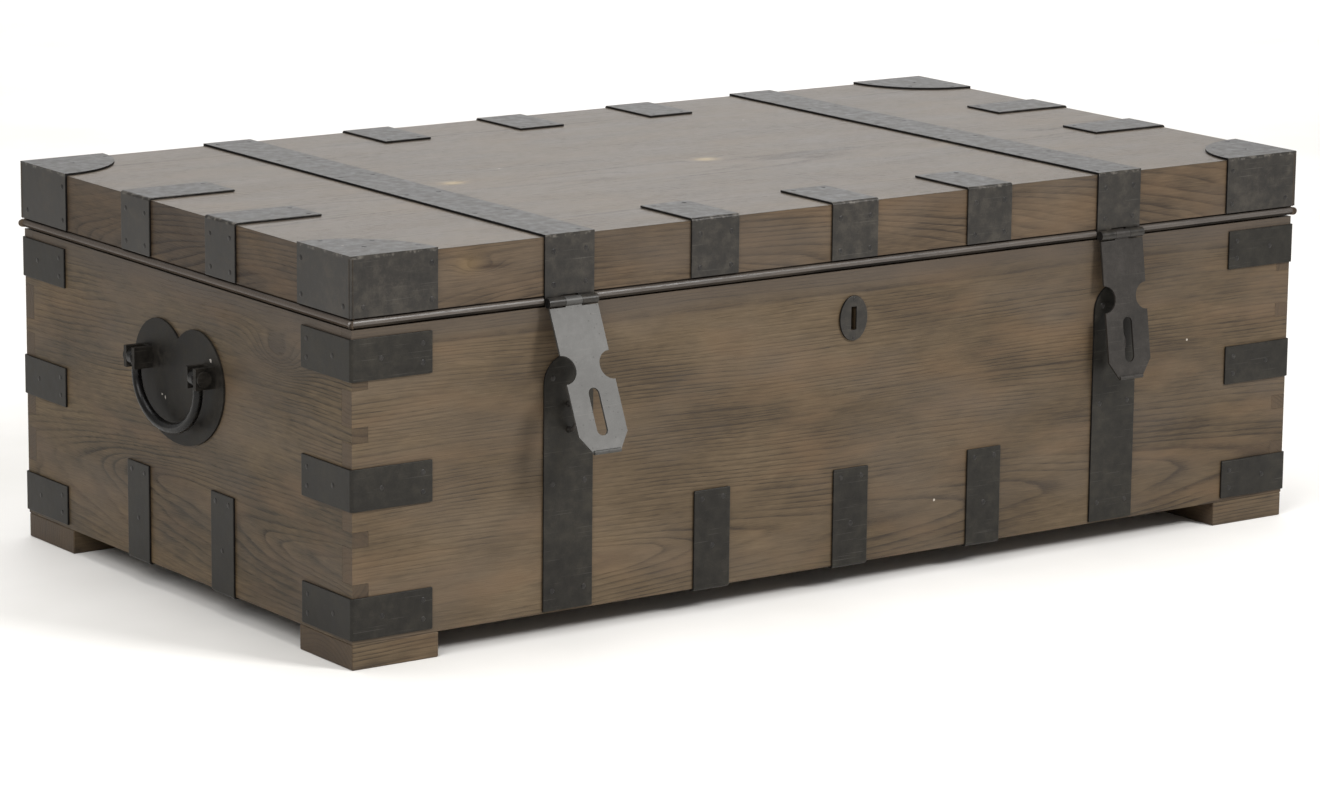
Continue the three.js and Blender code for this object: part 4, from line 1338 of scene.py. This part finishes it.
@dataclass
class LockSet(Assembly):
    """The keyhole plate outside, and the brass lock inside."""

    ease: float = 0.6
    pin_offset: float = 20.5

    def build(self) -> list[str]:
        """Eases the keyhole plate, pins it, and dresses the lock's brass."""
        plate = mount(eased_copy("keyhole_plate", self.ease, FACE_IRON, EDGE_SHADE_IRON), "carcass")
        low, high = box_mm("keyhole_plate")
        x, _, z = (low + high) / 2
        spots = [((x, low[1], z + lift), (0, -1, 0)) for lift in (-self.pin_offset, self.pin_offset)]
        pins = mount(domed_heads("keyhole_plate_pins", spots, 1.7, 0.6), "carcass")
        brass = ["lock_case", "lock_bolt", "lock_keeper"]
        for node in brass:
            dress(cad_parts[node], DullBrass())
        return [plate.name, pins.name] + brass


# ---------------------------------------------------------------- studio


@dataclass
class Studio(Assembly):
    """A pale floor, a white surround, soft lights and the camera."""

    eye: tuple[float, float, float] = (-2.9511, -4.1228, 1.2278)
    yaw: float = -35.334
    pitch: float = 11.986
    roll: float = 0.596
    lens: float = 131.82
    surround: float = 0.42
    floor_reach: float = 30000.0

    def softbox(
        self, name: str, at: Sequence[float], size: float, power: float, aim: Sequence[float] = (0.0, 0.0, 0.2)
    ) -> str:
        """Hangs a square softbox.

        Args:
            name: the lamp's name.
            at: its place, in metres.
            size: its side, in metres.
            power: its power in watts.
            aim: the place that it looks at, in metres.

        Returns:
            The lamp's name.
        """
        lamp = bpy.data.lights.new(name, "AREA")
        lamp.shape = "SQUARE"
        lamp.size = size
        lamp.energy = power
        made = bpy.data.objects.new(name, lamp)
        made.location = at
        made.rotation_euler = (Vector(aim) - Vector(at)).to_track_quat("-Z", "Y").to_euler()
        bpy.context.scene.collection.objects.link(made)
        return name

    def camera(self) -> str:
        """Sets the camera from its yaw, pitch and roll, and gives its name."""
        yaw, pitch, roll = (math.radians(a) for a in (self.yaw, self.pitch, self.roll))
        forward = Vector((-math.sin(yaw) * math.cos(pitch), math.cos(yaw) * math.cos(pitch), -math.sin(pitch)))
        right = Vector((math.cos(yaw), math.sin(yaw), 0.0))
        up = right.cross(forward)
        turned = math.cos(roll) * right + math.sin(roll) * up
        upright = -math.sin(roll) * right + math.cos(roll) * up
        data = bpy.data.cameras.new("camera")
        data.lens = self.lens
        data.sensor_width = 36.0
        data.clip_end = 100.0
        made = bpy.data.objects.new("camera", data)
        made.matrix_world = Matrix.Translation(self.eye) @ Matrix((turned, upright, -forward)).transposed().to_4x4()
        bpy.context.scene.collection.objects.link(made)
        bpy.context.scene.camera = made
        return made.name

    def build(self) -> list[str]:
        """Lays the floor, hangs the lights and sets the camera."""
        scene = bpy.context.scene
        scene.view_settings.view_transform = "Standard"
        square = np.array([[-1, -1, 0], [1, -1, 0], [1, 1, 0], [-1, 1, 0]]) * self.floor_reach
        floor = make_mesh("studio_floor", square, [[0, 1, 2, 3]])
        dress(floor, StudioFloor())
        world = bpy.data.worlds.new("surround")
        world.use_nodes = True
        shade = world.node_tree.nodes["Background"]
        shade.inputs["Color"].default_value = linear("fdfcfb")
        shade.inputs["Strength"].default_value = self.surround
        scene.world = world
        return [
            floor.name,
            self.softbox("key_softbox", (1.7, -3.9, 3.2), 1.2, 215.0),
            self.softbox("fill_softbox", (-3.6, -2.0, 3.0), 2.5, 125.0),
            self.softbox("top_softbox", (-0.4, 0.6, 4.2), 3.0, 100.0),
            self.softbox("backdrop_softbox", (3.8, 5.3, 2.4), 6.0, 165.0, (3.8, 5.31, 0.0)),
            self.camera(),
        ]


def main() -> None:
    """Builds every sub-assembly in order, and reports each piece."""
    logging.basicConfig(level=logging.INFO, format="%(name)s: %(message)s")
    for part in (Studio(), Carcass(), Lid(), CornerIron(), EdgeIron(), Straps(), Hasps(), EndHandles(), LockSet()):
        for name in part.build():
            LOG.info("%s: %s", type(part).__name__, name)


if __name__ == "__main__":
    main()
